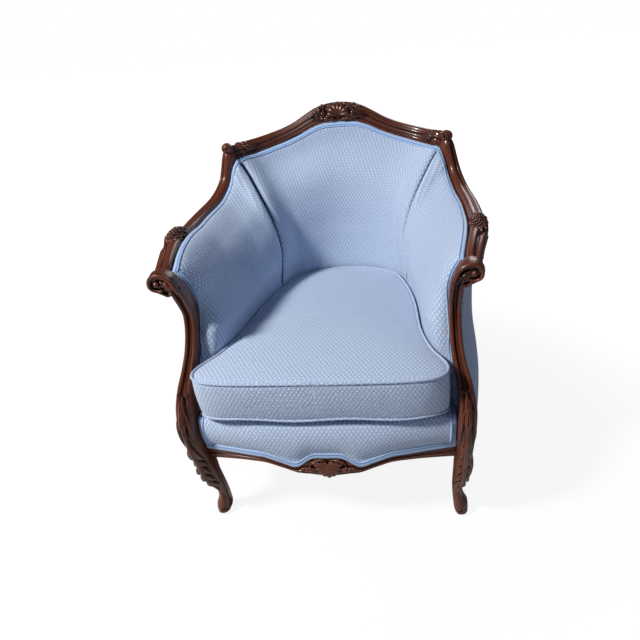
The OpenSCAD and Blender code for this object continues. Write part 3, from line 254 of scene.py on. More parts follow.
def amount(shares, s):
    return spline(shares, s)[..., 0]


def tangent(points, s):
    s = np.asarray(s, float)
    return unit(spline(points, np.minimum(s + 0.004, 1)) - spline(points, np.maximum(s - 0.004, 0)))


def frames(points, hints, s):
    """Place, direction along, direction away from the cloth and direction across to the inside."""
    t = tangent(points, s)
    away = unit(np.cross(t, spline(hints, s)))
    return spline(points, s), t, away, np.cross(away, t)


def in_frame(f, across, away):
    across, away = (np.asarray(x, float)[..., None] for x in (across, away))
    return f[0] + f[3] * across + f[2] * away


def moulding(corners, fine=7):
    """A closed outline from corner to corner; each corner's third number bows the run that leads to it."""
    outline = []
    for i, (x, y, bow) in enumerate(corners):
        a, b = np.array(corners[i - 1][:2]), np.array([x, y])
        for k in range(fine):
            t = k / fine
            out = np.array([b[1] - a[1], a[0] - b[0]]) / 2 * bow
            outline.append(mix(a, b, t) + out * (1 - (2 * t - 1) ** 2))
    return np.array(outline)


def sweep(f, outlines, wide, tall):
    """Rings of an outline along frames, sized at each station."""
    outlines = np.broadcast_to(outlines, (len(f[0]),) + np.shape(outlines)[-2:])
    across = outlines[..., 0] * np.asarray(wide)[:, None] / 2
    away = outlines[..., 1] * np.asarray(tall)[:, None] / 2
    return f[0][:, None] + f[3][:, None] * across[..., None] + f[2][:, None] * away[..., None]


def loft(rings, path_shut=False):
    """Points and faces of a skin over closed rings, shut at both ends unless the path closes on itself."""
    m, n = rings.shape[:2]
    i, j = np.meshgrid(np.arange(m if path_shut else m - 1), np.arange(n), indexing="ij")
    i, j = i.ravel(), j.ravel()
    a, b = i * n + j, i * n + (j + 1) % n
    c, d = ((i + 1) % m) * n + (j + 1) % n, ((i + 1) % m) * n + j
    faces = np.stack([a, b, c, d], 1).tolist()
    if not path_shut:
        faces += [list(range(n - 1, -1, -1)), list(range((m - 1) * n, m * n))]
    return rings.reshape(-1, 3), faces


def together(parts):
    """Several shells as one set of points and faces."""
    points, faces, first = [], [], 0
    for p, f in parts:
        points.append(p)
        faces += [[first + k for k in face] for face in f]
        first += len(p)
    return np.vstack(points), faces


def mirrored(shell):
    return shell[0] * [-1, 1, 1], [face[::-1] for face in shell[1]]


def make_piece(name, shell, finish, body, replaced=(), crease=40):
    """A mesh object from points in mm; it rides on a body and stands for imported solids."""
    mesh = bpy.data.meshes.new(name)
    mesh.from_pydata((shell[0] / 1000).tolist(), [], shell[1])
    bm = bmesh.new()
    bm.from_mesh(mesh)
    bmesh.ops.recalc_face_normals(bm, faces=bm.faces)
    bm.to_mesh(mesh)
    bm.free()
    mesh.polygons.foreach_set("use_smooth", [True] * len(mesh.polygons))
    mesh.set_sharp_from_angle(angle=math.radians(crease))
    mesh.materials.append(finish)
    piece = bpy.data.objects.new(name, mesh)
    bpy.context.scene.collection.objects.link(piece)
    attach(piece, body)
    if replaced:
        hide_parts(*replaced)
    return piece


def mark_hollow_shade_and_stain(piece, shut_in_shade_and_stain=None, extra_shade=0.0):
    """Stores how shut in each point is by the wood within 9 mm, for painted shade in the cuts and the stain
    that gathers there; the extra is painted shade over the whole piece.
    """
    reach = 0.009
    mesh = piece.data
    count = len(mesh.vertices)
    if shut_in_shade_and_stain is None:
        wood = BVHTree.FromPolygons([v.co for v in mesh.vertices], [list(p.vertices) for p in mesh.polygons])
        rays = [Vector((math.cos(a) * w, math.sin(a) * w, math.sqrt(1 - w * w)))
                for w, first in ((0.5, 0), (0.9, 0.8))
                for a in (first, first + 1.57, first + 3.14, first + 4.71)]
        shut_in_shade_and_stain = np.zeros(count)
        for k, v in enumerate(mesh.vertices):
            turned, start = v.normal.to_track_quat("Z", "X"), v.co + v.normal * 0.0004
            for ray in rays:
                far = wood.ray_cast(start, turned @ ray, reach)[3]
                if far is not None:
                    shut_in_shade_and_stain[k] += (1 - far / reach) / len(rays)
        ends = np.empty(len(mesh.edges) * 2, int)
        mesh.edges.foreach_get("vertices", ends)
        a, b = ends.reshape(-1, 2).T
        links = np.maximum(np.bincount(np.r_[a, b], minlength=count), 1)
        shut_in_shade_and_stain = extra_shade + 0.5 * shut_in_shade_and_stain + 0.5 * (np.bincount(a, shut_in_shade_and_stain[b], count)
                                           + np.bincount(b, shut_in_shade_and_stain[a], count)) / links
    mesh.attributes.new("hollow_shade_and_stain", "FLOAT", "POINT").data.foreach_set("value", shut_in_shade_and_stain)
    return shut_in_shade_and_stain


def ball(centre, radius, fine=20):
    """A closed round knob."""
    around = np.linspace(0, 2 * math.pi, fine, endpoint=False)
    up = np.linspace(0.02, math.pi - 0.02, fine // 2)
    rings = np.stack([np.outer(np.sin(up), np.cos(around)), np.outer(np.sin(up), np.sin(around)),
                      np.outer(np.cos(up), np.ones(fine))], 2)
    return loft(np.asarray(centre) + rings * radius)


def tube(path, radius, side, flat=1.0, fine=14):
    """A round strip along a path; radius may change along it, and side is the direction across it."""
    path = np.asarray(path, float)
    along = unit(np.gradient(path, axis=0))
    across = unit(np.broadcast_to(side, path.shape) - (along * side).sum(1, keepdims=True) * along)
    out = np.cross(along, across)
    a = np.linspace(0, 2 * math.pi, fine, endpoint=False)
    r = np.broadcast_to(radius, len(path))[:, None, None]
    return loft(path[:, None]
                + (across[:, None] * np.cos(a)[None, :, None] * flat
                   + out[:, None] * np.sin(a)[None, :, None]) * r)


def leaf(spine, up, widths, tall, lobes=0, cut=0.32, droop=0, steps=34, fine=8):
    """A closed carved leaf: crowned, cut into lobes at its edges, with veins that sweep from its midrib."""
    s = np.linspace(0, 1, steps)
    path = spline(spine, s)
    along = unit(np.gradient(path, axis=0))
    up = np.broadcast_to(np.asarray(up, float), path.shape)
    up = unit(up - (along * up).sum(1, keepdims=True) * along)
    across = np.cross(along, up)
    x = -np.cos(np.linspace(0, math.pi, 2 * fine + 1))[None]
    full = np.maximum(amount(widths, s), 0.6)
    notch = np.abs(np.cos(math.pi * lobes * (s - 0.1)))[:, None] ** 3 if lobes else 0 * s[:, None]
    vein = np.abs(np.cos(math.pi * lobes * (s[:, None] - 0.1 * np.abs(x)))) ** 5 if lobes else 0 * x
    half = full[:, None] / 2 * (1 - cut * notch)
    swell = tall * np.sqrt(full / full.max())[:, None]
    crown = swell * (np.sqrt(1 - x ** 2) * (1 - 0.4 * vein)
                     - (0.3 * np.exp(-(x / 0.13) ** 2) if lobes else 0))
    under = -(0.4 * swell + 0.8) * (1 - x ** 2)
    offset = np.concatenate([x * half, (x * half)[:, -2:0:-1]], 1)
    height = (np.concatenate([crown, under[:, -2:0:-1]], 1)
              - droop * np.concatenate([x, x[:, -2:0:-1]], 1) ** 2)
    return loft(path[:, None] + across[:, None] * offset[..., None] + up[:, None] * height[..., None])


def curl(centre, right, up, radius, turns=1.3, begin=0.0):
    """A small carved volute: a strip wound inwards round a bead."""
    a = begin + np.linspace(0, turns * 2 * math.pi, 36)
    r = radius * np.linspace(1, 0.42, 36)
    path = centre + np.outer(np.cos(a) * r, right) + np.outer(np.sin(a) * r, up)
    strip = tube(path, radius * np.linspace(0.3, 0.2, 36), np.cross(right, up), 1.3, 10)
    return together([strip, ball(centre, radius * 0.34, 12)])


# Mahogany, stained dark red-brown and rubbed to a gloss: the cuts are dark with painted shade and with the
# stain that gathers there, and the ridges are a warm brown. The grain is drawn upright, in streaks about 6 mm
# wide and 45 mm long.
glossy_mahogany, tree = new_finish("glossy_stained_mahogany")
spot = add_node(tree, "ShaderNodeTexCoord")
stretched = add_node(tree, "ShaderNodeMapping", {},
                     {"Vector": spot.outputs["Object"], "Scale": (160, 160, 22)})
grain = add_node(tree, "ShaderNodeTexNoise", {},
                 {"Vector": stretched.outputs[0], "Scale": 1.0, "Detail": 6.0, "Roughness": 0.62})
cloudy = add_node(tree, "ShaderNodeTexNoise", {},
                  {"Vector": spot.outputs["Object"], "Scale": 14.0, "Detail": 3.0})
# Painted shade: the cuts and the hollows between carved parts turn to #1c0b07 as far as they are shut in,
# together with the stain that gathers there.
cut = add_node(tree, "ShaderNodeAttribute", {"attribute_name": "hollow_shade_and_stain"})
depth = add_node(tree, "ShaderNodeMapRange", {"interpolation_type": "SMOOTHSTEP"},
                 {"Value": cut.outputs["Fac"], "From Min": 0.03, "From Max": 0.34})
bare = add_node(tree, "ShaderNodeMix", {"data_type": "RGBA"},
                {0: grain.outputs["Fac"], 6: linear("#4b1f0f"), 7: linear("#814429")})
shaded = add_node(tree, "ShaderNodeMix", {"data_type": "RGBA"},
                  {0: cloudy.outputs["Fac"], 6: bare.outputs[2], 7: linear("#522413")})
stain_and_shade = add_node(tree, "ShaderNodeMix", {"data_type": "RGBA"},
                   {0: depth.outputs[0], 6: shaded.outputs[2], 7: linear("#1c0b07")})
rub = add_node(tree, "ShaderNodeMapRange", {}, {"Value": grain.outputs["Fac"], "To Min": 0.3, "To Max": 0.46})
add_surface(tree, {"Base Color": stain_and_shade.outputs[2], "Roughness": rub.outputs[0], "IOR": 1.45,
                   "Specular IOR Level": 0.4, "Coat Weight": 0.35, "Coat Roughness": 0.09},
            grain.outputs["Fac"], 0.18)

rail_w, rail_t = 36, 30
rail_path = [[0.9, 0.205, 1.93], [0.903, 0.23, 1.945], [0.914, 0.264, 1.96], [0.932, 0.317, 1.975],
             [0.948, 0.375, 1.985], [0.952, 0.44, 1.99], [0.945, 0.52, 1.99], [0.925, 0.61, 2.02],
             [0.885, 0.708, 2.08], [0.855, 0.76, 2.165], [0.832, 0.79, 2.265], [0.813, 0.801, 2.39],
             [0.796, 0.806, 2.51], [0.788, 0.806, 2.6]]
rail_hints = [[-1, 0, 0.15], [-1, 0, 0.2], [-1, 0, 0.25], [-1, 0, 0.3], [-1, -0.05, 0.3], [-1, -0.1, 0.3],
              [-1, -0.2, 0.25], [-1, -0.3, 0.2], [-1, -0.4, 0.12], [-0.95, -0.5, 0.1], [-0.9, -0.5, 0.08],
              [-0.87, -0.5, 0.05], [-0.86, -0.5, 0.05], [-0.86, -0.5, 0.05]]
rail_w_shares = [0.95, 1, 1.03, 1.12, 1.22, 1.2, 1.12, 1.05, 1, 0.96, 0.93, 0.9, 0.9, 0.9]
rail_t_shares = [0.95, 0.95, 0.95, 1, 1.1, 1.1, 1.05, 1, 1, 1, 1, 1, 1, 1]
rail_points = [place(p) for p in rail_path]


def rail_frame(s):
    return frames(rail_points, rail_hints, s)


def rail_half_w(s):
    return rail_w * amount(rail_w_shares, s) / 2


def rail_half_t(s):
    return rail_t * amount(rail_t_shares, s) / 2


crest_w, crest_t = 34, 30
crest_half_path = [[0.725, 0.853, 2.566], [0.674, 0.885, 2.571], [0.604, 0.912, 2.588],
                   [0.506, 0.934, 2.624], [0.416, 0.946, 2.664], [0.323, 0.955, 2.72], [0.24, 0.962, 2.785],
                   [0.155, 0.967, 2.84], [0.076, 0.97, 2.864]]
flip = np.array([-1, 1, 1])
crest_end = in_frame(rail_frame(0.93), 0, -rail_half_t(0.93) - crest_t * 0.12)
crest_half = [np.array([crest_end[0], crest_end[1], level(2.56)])] + [place(p) for p in crest_half_path]
crest_points = np.array(crest_half + [place([0, 0.971, 2.87])] + [p * flip for p in crest_half[::-1]])
crest_w_half = [0.95, 1, 1.04, 1, 0.97, 0.97, 1, 1.08, 1.25, 1.38]
crest_w_shares = crest_w_half + [1.42] + crest_w_half[::-1]
crest_t_dir = tangent(crest_points, np.linspace(0, 1, len(crest_points)))
crest_hints = unit(np.stack([-crest_t_dir[:, 1], crest_t_dir[:, 0], 0 * crest_t_dir[:, 0]], 1)) + [0, 0, 0.14]


def crest_frame(s):
    return frames(crest_points, crest_hints, s)


def crest_half_w(s):
    return crest_w * amount(crest_w_shares, s) / 2


crest_outline = moulding([(-0.9, -1, 0), (0.72, -1, 0), (0.98, -0.7, 0.5), (0.8, -0.52, -0.3),
                          (0.76, 0.02, 0.42), (0.66, 0.08, -0.3), (0.62, 0.52, 0.45), (0.5, 0.58, -0.3),
                          (0, 1, 0.4), (-0.6, 0.98, 0.1), (-0.97, 0.6, 0.4), (-1, -0.8, 0)])


def running(points):
    """The length run along a line at each of its points."""
    return np.insert(np.cumsum(np.linalg.norm(np.diff(points, axis=0), axis=1)), 0, 0)


stations = np.linspace(0, 1, 300)
crest_run = running(spline(crest_points, stations))
from_ear = np.minimum(crest_run, crest_run[-1] - crest_run)
knuckle = 1
for middle, reach, rise in ((24, 6, 0.17), (14, 3.5, -0.12), (35, 2.5, -0.1), (41, 3, 0.08),
                            (47, 2.5, -0.08)):
    knuckle = knuckle + rise * np.exp(-((from_ear - middle) / reach) ** 2)
crest_shell = loft(sweep(crest_frame(stations), crest_outline, crest_t * knuckle,
                         2 * crest_half_w(stations) * knuckle))


def on_crest(run, rise, proud=0.0):
    """A place on the front face: mm to the right of the middle, -1 to 1 up the face, and mm out of it."""
    s = np.interp(np.interp(0.5, stations, crest_run) - run, crest_run, stations)
    face = np.interp(rise, [-1, -0.7, -0.5, 0.1, 0.55, 1, 1.3], [0.72, 0.98, 0.8, 0.78, 0.55, 0.05, -0.3])
    return in_frame(crest_frame(s), face * crest_t / 2 + proud, rise * crest_half_w(s))


face_out = np.array([0, -1, 0.35])
hinge_rise = -0.42
crest_parts = [crest_shell, ball(on_crest(0, -0.52, 2), 3.6)]
for k in range(7):
    turn = math.radians(mix(-80, 80, k / 6))
    tip = np.array([29 * math.sin(turn), 1.3 * math.cos(turn)])
    spine = [on_crest(tip[0] * r, hinge_rise + tip[1] * r, p)
             for r, p in ((0.1, 2.2), (0.4, 4.4), (0.7, 4.8), (0.92, 3.4), (1.04, 0.4))]
    crest_parts.append(leaf(spine, face_out, [4, 8, 12.5, 15, 10], 4.6))
side_leaves = [([(5, -0.84, 1), (20, -0.76, 3), (36, -0.46, 4), (41, 0.1, 4), (36, 0.5, 2)],
                [6, 12, 14, 12, 5], 4),
               ([(30, 0.76, 0.5), (40, 0.78, 3), (52, 0.56, 3), (64, 0.34, 1.8), (80, 0.14, 0.3)],
                [7, 15, 15, 10, 3], 4),
               ([(20, -0.78, 1), (36, -0.66, 2.6), (50, -0.36, 3), (62, -0.22, 1.6), (76, -0.3, 0.4)],
                [5, 11, 13, 9, 3], 4),
               ([(45, 0.32, 1), (53, 0.16, 3), (62, 0.0, 2.6), (72, -0.12, 0.6)], [4, 10, 9, 3], 3)]
half_parts = [leaf([on_crest(*p) for p in spine], face_out, widths, 5, lobes)
              for spine, widths, lobes in side_leaves]
half_parts.append(curl(on_crest(47, -0.02, 4), np.array([1, 0, 0]), np.array([0, 0.3, 1]), 6))
ear_run = crest_run[-1] / 2
end_leaf = [on_crest(ear_run - r, y, p)
            for r, y, p in ((26, 0.3, 1), (36, 0.1, 3.5), (50, -0.05, 3), (64, 0, 1), (76, 0.1, 0))]
half_parts.append(leaf(end_leaf, on_crest(ear_run - 45, 0, 5) - on_crest(ear_run - 45, 0, 0),
                       [5, 15, 13, 8, 2], 4, 4))
crest_parts += half_parts + [mirrored(part) for part in half_parts]

crest_rail = make_piece("crest_rail_carved", together(crest_parts), glossy_mahogany, "chair",
                        ["crest_rail"])
# Extra painted shade darkens the whole crest beyond the other wood.
mark_hollow_shade_and_stain(crest_rail, extra_shade=0.13)


# Arm rails
# One mahogany rail on each side, from the scroll over the front post up to the ear beside the crest. A broad
# round body lies between an inner edge bead and an outer bead, with a carved flower on the arm.

rail_outline = moulding([(-0.86, -1, 0), (0.86, -1, 0), (0.98, -0.62, 0.4), (0.86, -0.42, -0.3),
                         (0.84, -0.2, 0.1), (0.3, 0.96, 0.36), (-0.3, 0.9, 0.16), (-0.5, 0.66, -0.2),
                         (-0.92, 0.38, 0.6), (-0.9, 0.16, -0.2), (-1, -0.3, 0.2), (-0.96, -0.8, 0)])
ridged_outline = moulding([(-0.86, -1, 0), (0.86, -1, 0), (0.98, -0.62, 0.4), (0.9, -0.42, -0.3),
                           (0.86, -0.1, 0.1), (0.34, 0.98, 0.45), (0.04, 0.6, 0.3), (-0.1, 0.62, 0.2),
                           (-0.46, 0.94, 0.4), (-0.92, 0.3, 0.45), (-1, -0.3, 0.2), (-0.96, -0.8, 0)])
flower_share = 0.345
ridges = np.interp(stations,
                   [0, flower_share - 0.12, flower_share - 0.05, flower_share + 0.06, flower_share + 0.14,
                    0.9, 0.96], [1, 1, 0, 0, 0.7, 0.7, 0.1])
rounded_end = np.interp(stations, [0, 0.93, 0.955, 0.975, 1], [1, 1, 0.9, 0.7, 0.6])
rail_shell = loft(sweep(rail_frame(stations), mix(rail_outline, ridged_outline, ridges[:, None, None]),
                        2 * rail_half_w(stations) * rounded_end, 2 * rail_half_t(stations) * rounded_end))
rail_parts = [rail_shell]

# The flower: leaf tips round a long heap of small lumps, set like seeds.
f = rail_frame(flower_share)
flower_out = unit(f[2] + f[3] * 0.35)
flower_side = np.cross(f[1], flower_out)
flower_heart = in_frame(f, rail_half_w(flower_share) * 0.15, rail_half_t(flower_share) * 0.72)
long_r, short_r, lumps, heap = 42, 17, 50, 12
seed_turn = 2.39996


def on_flower(turn, reach, proud):
    away = f[1] * math.cos(turn) * reach * long_r + flower_side * math.sin(turn) * reach * short_r
    return flower_heart + away + flower_out * (heap * (1 - reach ** 2) + proud)


for k in range(lumps):
    reach = math.sqrt((k + 0.5) / lumps) * 0.95
    lump_r = 4.3 - 0.5 * reach + 0.6 * math.sin(k * 1.7)
    rail_parts.append(ball(on_flower(k * seed_turn, reach, 0), lump_r, 12))
for k in range(14):
    turn = 2 * math.pi * (k + 0.5) / 14
    spine = [on_flower(turn, r, p) for r, p in ((0.74, -1), (0.95, 1.4), (1.08, 1.2), (1.2, -1))]
    rail_parts.append(leaf(spine, flower_out, [6, 10.5, 8, 3], 3, 2, 0.2, 0, 14, 5))
ear = rail_points[-1]
rail_parts.append(ball(ear + [1, 0, 3], 14.5, 28))
rail_parts.append(curl(ear + [-2, -13, 5], np.array([0.95, -0.2, 0]), np.array([0, 0.3, 0.95]), 8, 1.2, 2))

# Rounded bits set along a line, by Geometry Nodes; every other bit is shifted across by the stagger.
bits = bpy.data.node_groups.new("bits_along_a_line", "GeometryNodeTree")
for label, kind in (("Geometry", "Geometry"), ("Count", "Int"), ("Size", "Vector"), ("Stagger", "Vector"),
                    ("Seed", "Int"), ("Finish", "Material")):
    bits.interface.new_socket(label, in_out="INPUT", socket_type="NodeSocket" + kind)
bits.interface.new_socket("Geometry", in_out="OUTPUT", socket_type="NodeSocketGeometry")
given = add_node(bits, "NodeGroupInput")
line = add_node(bits, "GeometryNodeMeshToCurve", {}, {0: given.outputs["Geometry"]})
even = add_node(bits, "GeometryNodeResampleCurve", {"mode": "COUNT"},
                {"Curve": line.outputs[0], "Count": given.outputs["Count"]})
number = add_node(bits, "GeometryNodeInputIndex")
odd = add_node(bits, "ShaderNodeMath", {"operation": "MODULO"}, {0: number.outputs[0], 1: 2.0})
to_side = add_node(bits, "ShaderNodeMath", {"operation": "SUBTRACT"}, {0: odd.outputs[0], 1: 0.5})
shift = add_node(bits, "ShaderNodeVectorMath", {"operation": "SCALE"},
                 {0: given.outputs["Stagger"], "Scale": to_side.outputs[0]})
moved = add_node(bits, "GeometryNodeSetPosition", {},
                 {"Geometry": even.outputs[0], "Offset": shift.outputs[0]})
bit = add_node(bits, "GeometryNodeMeshIcoSphere", {}, {"Radius": 1.0, "Subdivisions": 2})
round_bit = add_node(bits, "GeometryNodeSetShadeSmooth", {}, {0: bit.outputs[0]})
ahead = add_node(bits, "GeometryNodeInputTangent")
turned = add_node(bits, "FunctionNodeAlignRotationToVector", {"axis": "X"}, {"Vector": ahead.outputs[0]})
uneven = add_node(bits, "FunctionNodeRandomValue", {"data_type": "FLOAT"},
                  {2: 0.93, 3: 1.07, "Seed": given.outputs["Seed"]})
size = add_node(bits, "ShaderNodeVectorMath", {"operation": "SCALE"},
                {0: given.outputs["Size"], "Scale": uneven.outputs[1]})
placed = add_node(bits, "GeometryNodeInstanceOnPoints", {},
                  {"Points": moved.outputs[0], "Instance": round_bit.outputs[0],
                   "Rotation": turned.outputs[0], "Scale": size.outputs[0]})
real = add_node(bits, "GeometryNodeRealizeInstances", {}, {0: placed.outputs[0]})
dressed = add_node(bits, "GeometryNodeSetMaterial", {},
                   {"Geometry": real.outputs[0], "Material": given.outputs["Finish"]})
add_node(bits, "NodeGroupOutput", {}, {0: dressed.outputs[0]})


def strung(name, points, count, size, stagger, finish, body):
    """A piece of small rounded bits along points in mm."""
    thread = bpy.data.meshes.new(name + "_line")
    thread.from_pydata((np.asarray(points) / 1000).tolist(), [(i, i + 1) for i in range(len(points) - 1)], [])
    carrier = bpy.data.objects.new(name + "_line", thread)
    bpy.context.scene.collection.objects.link(carrier)
    setter = carrier.modifiers.new("bits", "NODES")
    setter.node_group = bits
    values = {"Count": count, "Size": [v / 1000 for v in size], "Stagger": [v / 1000 for v in stagger],
              "Seed": 7, "Finish": finish}
    for item in bits.interface.items_tree:
        if item.in_out == "INPUT" and item.name in values:
            setter[item.identifier] = values[item.name]
    made = bpy.data.meshes.new_from_object(carrier.evaluated_get(bpy.context.evaluated_depsgraph_get()))
    bpy.data.objects.remove(carrier)
    piece = bpy.data.objects.new(name, made)
    bpy.context.scene.collection.objects.link(piece)
    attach(piece, body)


# A row of carved beads along the outer edge of each rail, between the scroll and the flower.
edge_shares = np.linspace(0.06, 0.27, 40)
bead_line = in_frame(rail_frame(edge_shares), -rail_half_w(edge_shares) * 0.97,
                     rail_half_t(edge_shares) * 0.2)
for name, line in (("right_rail_beads", bead_line), ("left_rail_beads", bead_line * flip)):
    strung(name, line, 20, (2.2, 1.9, 1.9), (0, 0, 0), glossy_mahogany, "chair")

shut_in_shade_and_stain = None
for name, shell in (("right_arm_rail", together(rail_parts)),
                    ("left_arm_rail", mirrored(together(rail_parts)))):
    piece = make_piece(name + "_carved", shell, glossy_mahogany, "chair", [name])
    shut_in_shade_and_stain = mark_hollow_shade_and_stain(piece, shut_in_shade_and_stain)


# Front posts
# Each front leg, its knee and the arm support above it are one piece of mahogany. Two beads run up a sunk
# channel to the scroll; acanthus leaves cover the knee and the leg, and the toe is a ball with a curl.

post_w, post_t = 28, 38
post_path = [[0.812, 0.15, 0.02], [0.806, 0.148, 0.11], [0.79, 0.145, 0.25], [0.787, 0.135, 0.4],
             [0.798, 0.122, 0.54], [0.815, 0.11, 0.68], [0.826, 0.104, 0.82], [0.83, 0.1, 0.96],
             [0.836, 0.086, 1.07], [0.846, 0.082, 1.18], [0.85, 0.092, 1.27], [0.84, 0.112, 1.36],
             [0.815, 0.14, 1.455], [0.798, 0.168, 1.535], [0.792, 0.197, 1.63], [0.792, 0.21, 1.72],
             [0.796, 0.198, 1.8], [0.812, 0.182, 1.87], [0.84, 0.175, 1.915]]
post_w_shares = [1.05, 1.15, 0.86, 0.84, 1.05, 1.36, 1.5, 1.25, 1.3, 1.43, 1.4, 1.2, 1, 0.96, 0.93,
                 0.93, 0.93, 0.9, 0.8]
post_t_shares = [1.1, 1.1, 0.76, 0.68, 0.84, 1.05, 1.2, 1.15, 1.4, 1.5, 1.37, 1.16, 1, 0.95, 0.95,
                 1, 1.05, 1, 0.95]
post_count = len(post_path) - 1
post_points = [place(p) for p in post_path]
post_hints = [[-1, 0, 0]] * (post_count - 1) + [[-0.94, 0, 0.3], [-0.8, 0, 0.6]]
wall_share = 4 / 12
deck_share, seat_share, neck_share = 8.8 / post_count, 12.65 / post_count, 17.4 / post_count


def post_rise(v):
    v = np.asarray(v, float)
    return np.where(v < wall_share, mix(deck_share, seat_share, v / wall_share),
                    mix(seat_share, neck_share, (v - wall_share) / (1 - wall_share)))


def post_frame(s):
    return frames(post_points, post_hints, s)


def post_half_w(s):
    return post_w * amount(post_w_shares, s) / 2


def post_half_t(s):
    return post_t * amount(post_t_shares, s) / 2


grooved = moulding([(-0.85, -1, 0), (0.85, -1, 0), (1, -0.8, 0.2), (1, 0.2, 0), (0.94, 0.42, -0.2),
                    (0.42, 0.84, 0.75), (0.2, 0.5, -0.2), (0, 0.52, 0.5), (-0.2, 0.5, 0.5),
                    (-0.42, 0.84, -0.2), (-0.94, 0.42, 0.75), (-1, 0.2, -0.2), (-1, -0.8, 0)], 6)
smooth = moulding([
    (-0.8, -1, 0), (0.8, -1, 0), (1, -0.7, 0.3), (1, 0.1, 0.05), (0.95, 0.4, 0.1), (0.5, 0.9, 0.2),
    (0.2, 0.99, 0.06), (0, 1, 0), (-0.2, 0.99, 0), (-0.5, 0.9, 0.06), (-0.95, 0.4, 0.2), (-1, 0.1, 0.1),
    (-1, -0.7, 0.05)], 6)
stations = np.linspace(0, 1, 320)
channel = np.interp(stations, np.array([8.2, 10, 11.5, 16.8, 17.6]) / post_count, [0, 0.35, 1, 1, 0.6])
post_rings = sweep(post_frame(stations), mix(smooth, grooved, channel[:, None, None]),
                   2 * post_half_w(stations), 2 * post_half_t(stations))
post_rings[..., 2] = np.maximum(post_rings[..., 2], 4 + gap)
post_parts = [loft(post_rings)]


def on_post(step, across, proud=0.0):
    """A place on the front of the post: its path's step, -1 to 1 towards the inside, and mm out of it."""
    s = step / post_count
    face = np.interp(abs(across), [0, 0.2, 0.5, 0.95, 1], [1, 0.99, 0.9, 0.4, 0.1])
    return in_frame(post_frame(s), across * post_half_w(s), face * post_half_t(s) + proud)


# The scroll: the inner bead climbs over an arch and curls down to a round eye; the outer bead ends under it,
# and a small leaf lies in the sunk field between them.
scroll_eye = place([0.897, 0.17, 1.917])
bead_y = scroll_eye[1] - post_t / 2 + 2
field_y = bead_y + 3.5


def bent_back(points):
    """How far the scroll's parts lie back, towards the post, at their height."""
    return np.interp(points[..., 2] - scroll_eye[2], [-62, -48, -34, -22, -8], [26, 22, 14, 6, 0])


def on_scroll(points, y):
    return np.array([[scroll_eye[0] + x, y, scroll_eye[2] + z] for x, z in points])


steps = np.linspace(0, 1, 70)
outer_side = spline(on_scroll([(-47, -56), (-46, -40), (-43, -20), (-37, -2), (-29, 12), (-17, 21),
                               (-4, 24.5), (9, 20), (17, 9), (18.5, -3), (14, -13)], 0), steps)
under_side = spline(on_scroll([(-27, -58), (-25, -46), (-19, -35), (-12, -27), (-5, -22), (0, -20),
                               (4, -18.5), (8, -17.5), (11, -16.5)], 0), steps)
across = np.linspace(0, 1, 12)
lines = mix(under_side[:, None], outer_side[:, None], across[None, :, None])
dish = 2.5 * np.sin(math.pi * across)[None, :, None]
lines[..., 1] = bent_back(lines)
centre_line = lines + [0, scroll_eye[1], 0]
rims = [side[:, None] + unit((side - scroll_eye) * [1, 0, 1])[:, None] * 2.5
        for side in (centre_line[:, -1], centre_line[:, 0])]
drum = np.concatenate([lines + [0, 1, 0] * (field_y + dish), rims[0],
                       (lines + [0, scroll_eye[1] + post_t / 2 - 3, 0])[:, ::-1], rims[1]], 1)
inner_bead = np.vstack([[on_post(15.4, 0.72, -2), on_post(16.4, 0.76, 0.5), on_post(17.2, 0.86, 0.5)],
                        on_scroll([(-43, -22), (-37, -7), (-28, 8), (-16, 17), (-4, 20), (8, 15), (14.5, 5),
                                   (14, -6), (8, -13.5), (-2, -16), (-10, -14)], bead_y)])
inner_bead[3:, 1] += bent_back(inner_bead[3:])
outer_bead = np.vstack([[on_post(15.4, -0.7, -2), on_post(16.3, -0.72, 0.5), on_post(17, -0.7, 1)],
                        on_scroll([(-15, -29), (-6, -22), (4, -17)], bead_y)])
outer_bead[3:, 1] += bent_back(outer_bead[3:])
post_parts.append(loft(drum))
for bead, radii in ((inner_bead, [4.3, 4.4, 2.8]), (outer_bead, [3.9, 3.6, 2.2])):
    post_parts.append(tube(spline(bead, steps), np.interp(steps, [0, 0.6, 1], radii), (0, 1, 0), 1.1))
post_parts.append(ball(scroll_eye + [0, field_y - scroll_eye[1] - 1, 0], 6.6, 24))
scroll_leaf = on_scroll([(-34, -22), (-26, -8), (-17, 1), (-8, 5)], field_y - 0.5)
scroll_leaf[:, 1] += bent_back(scroll_leaf)
post_parts.append(leaf(scroll_leaf, (0, -1, 0), [3, 9, 9, 4], 3, 3))


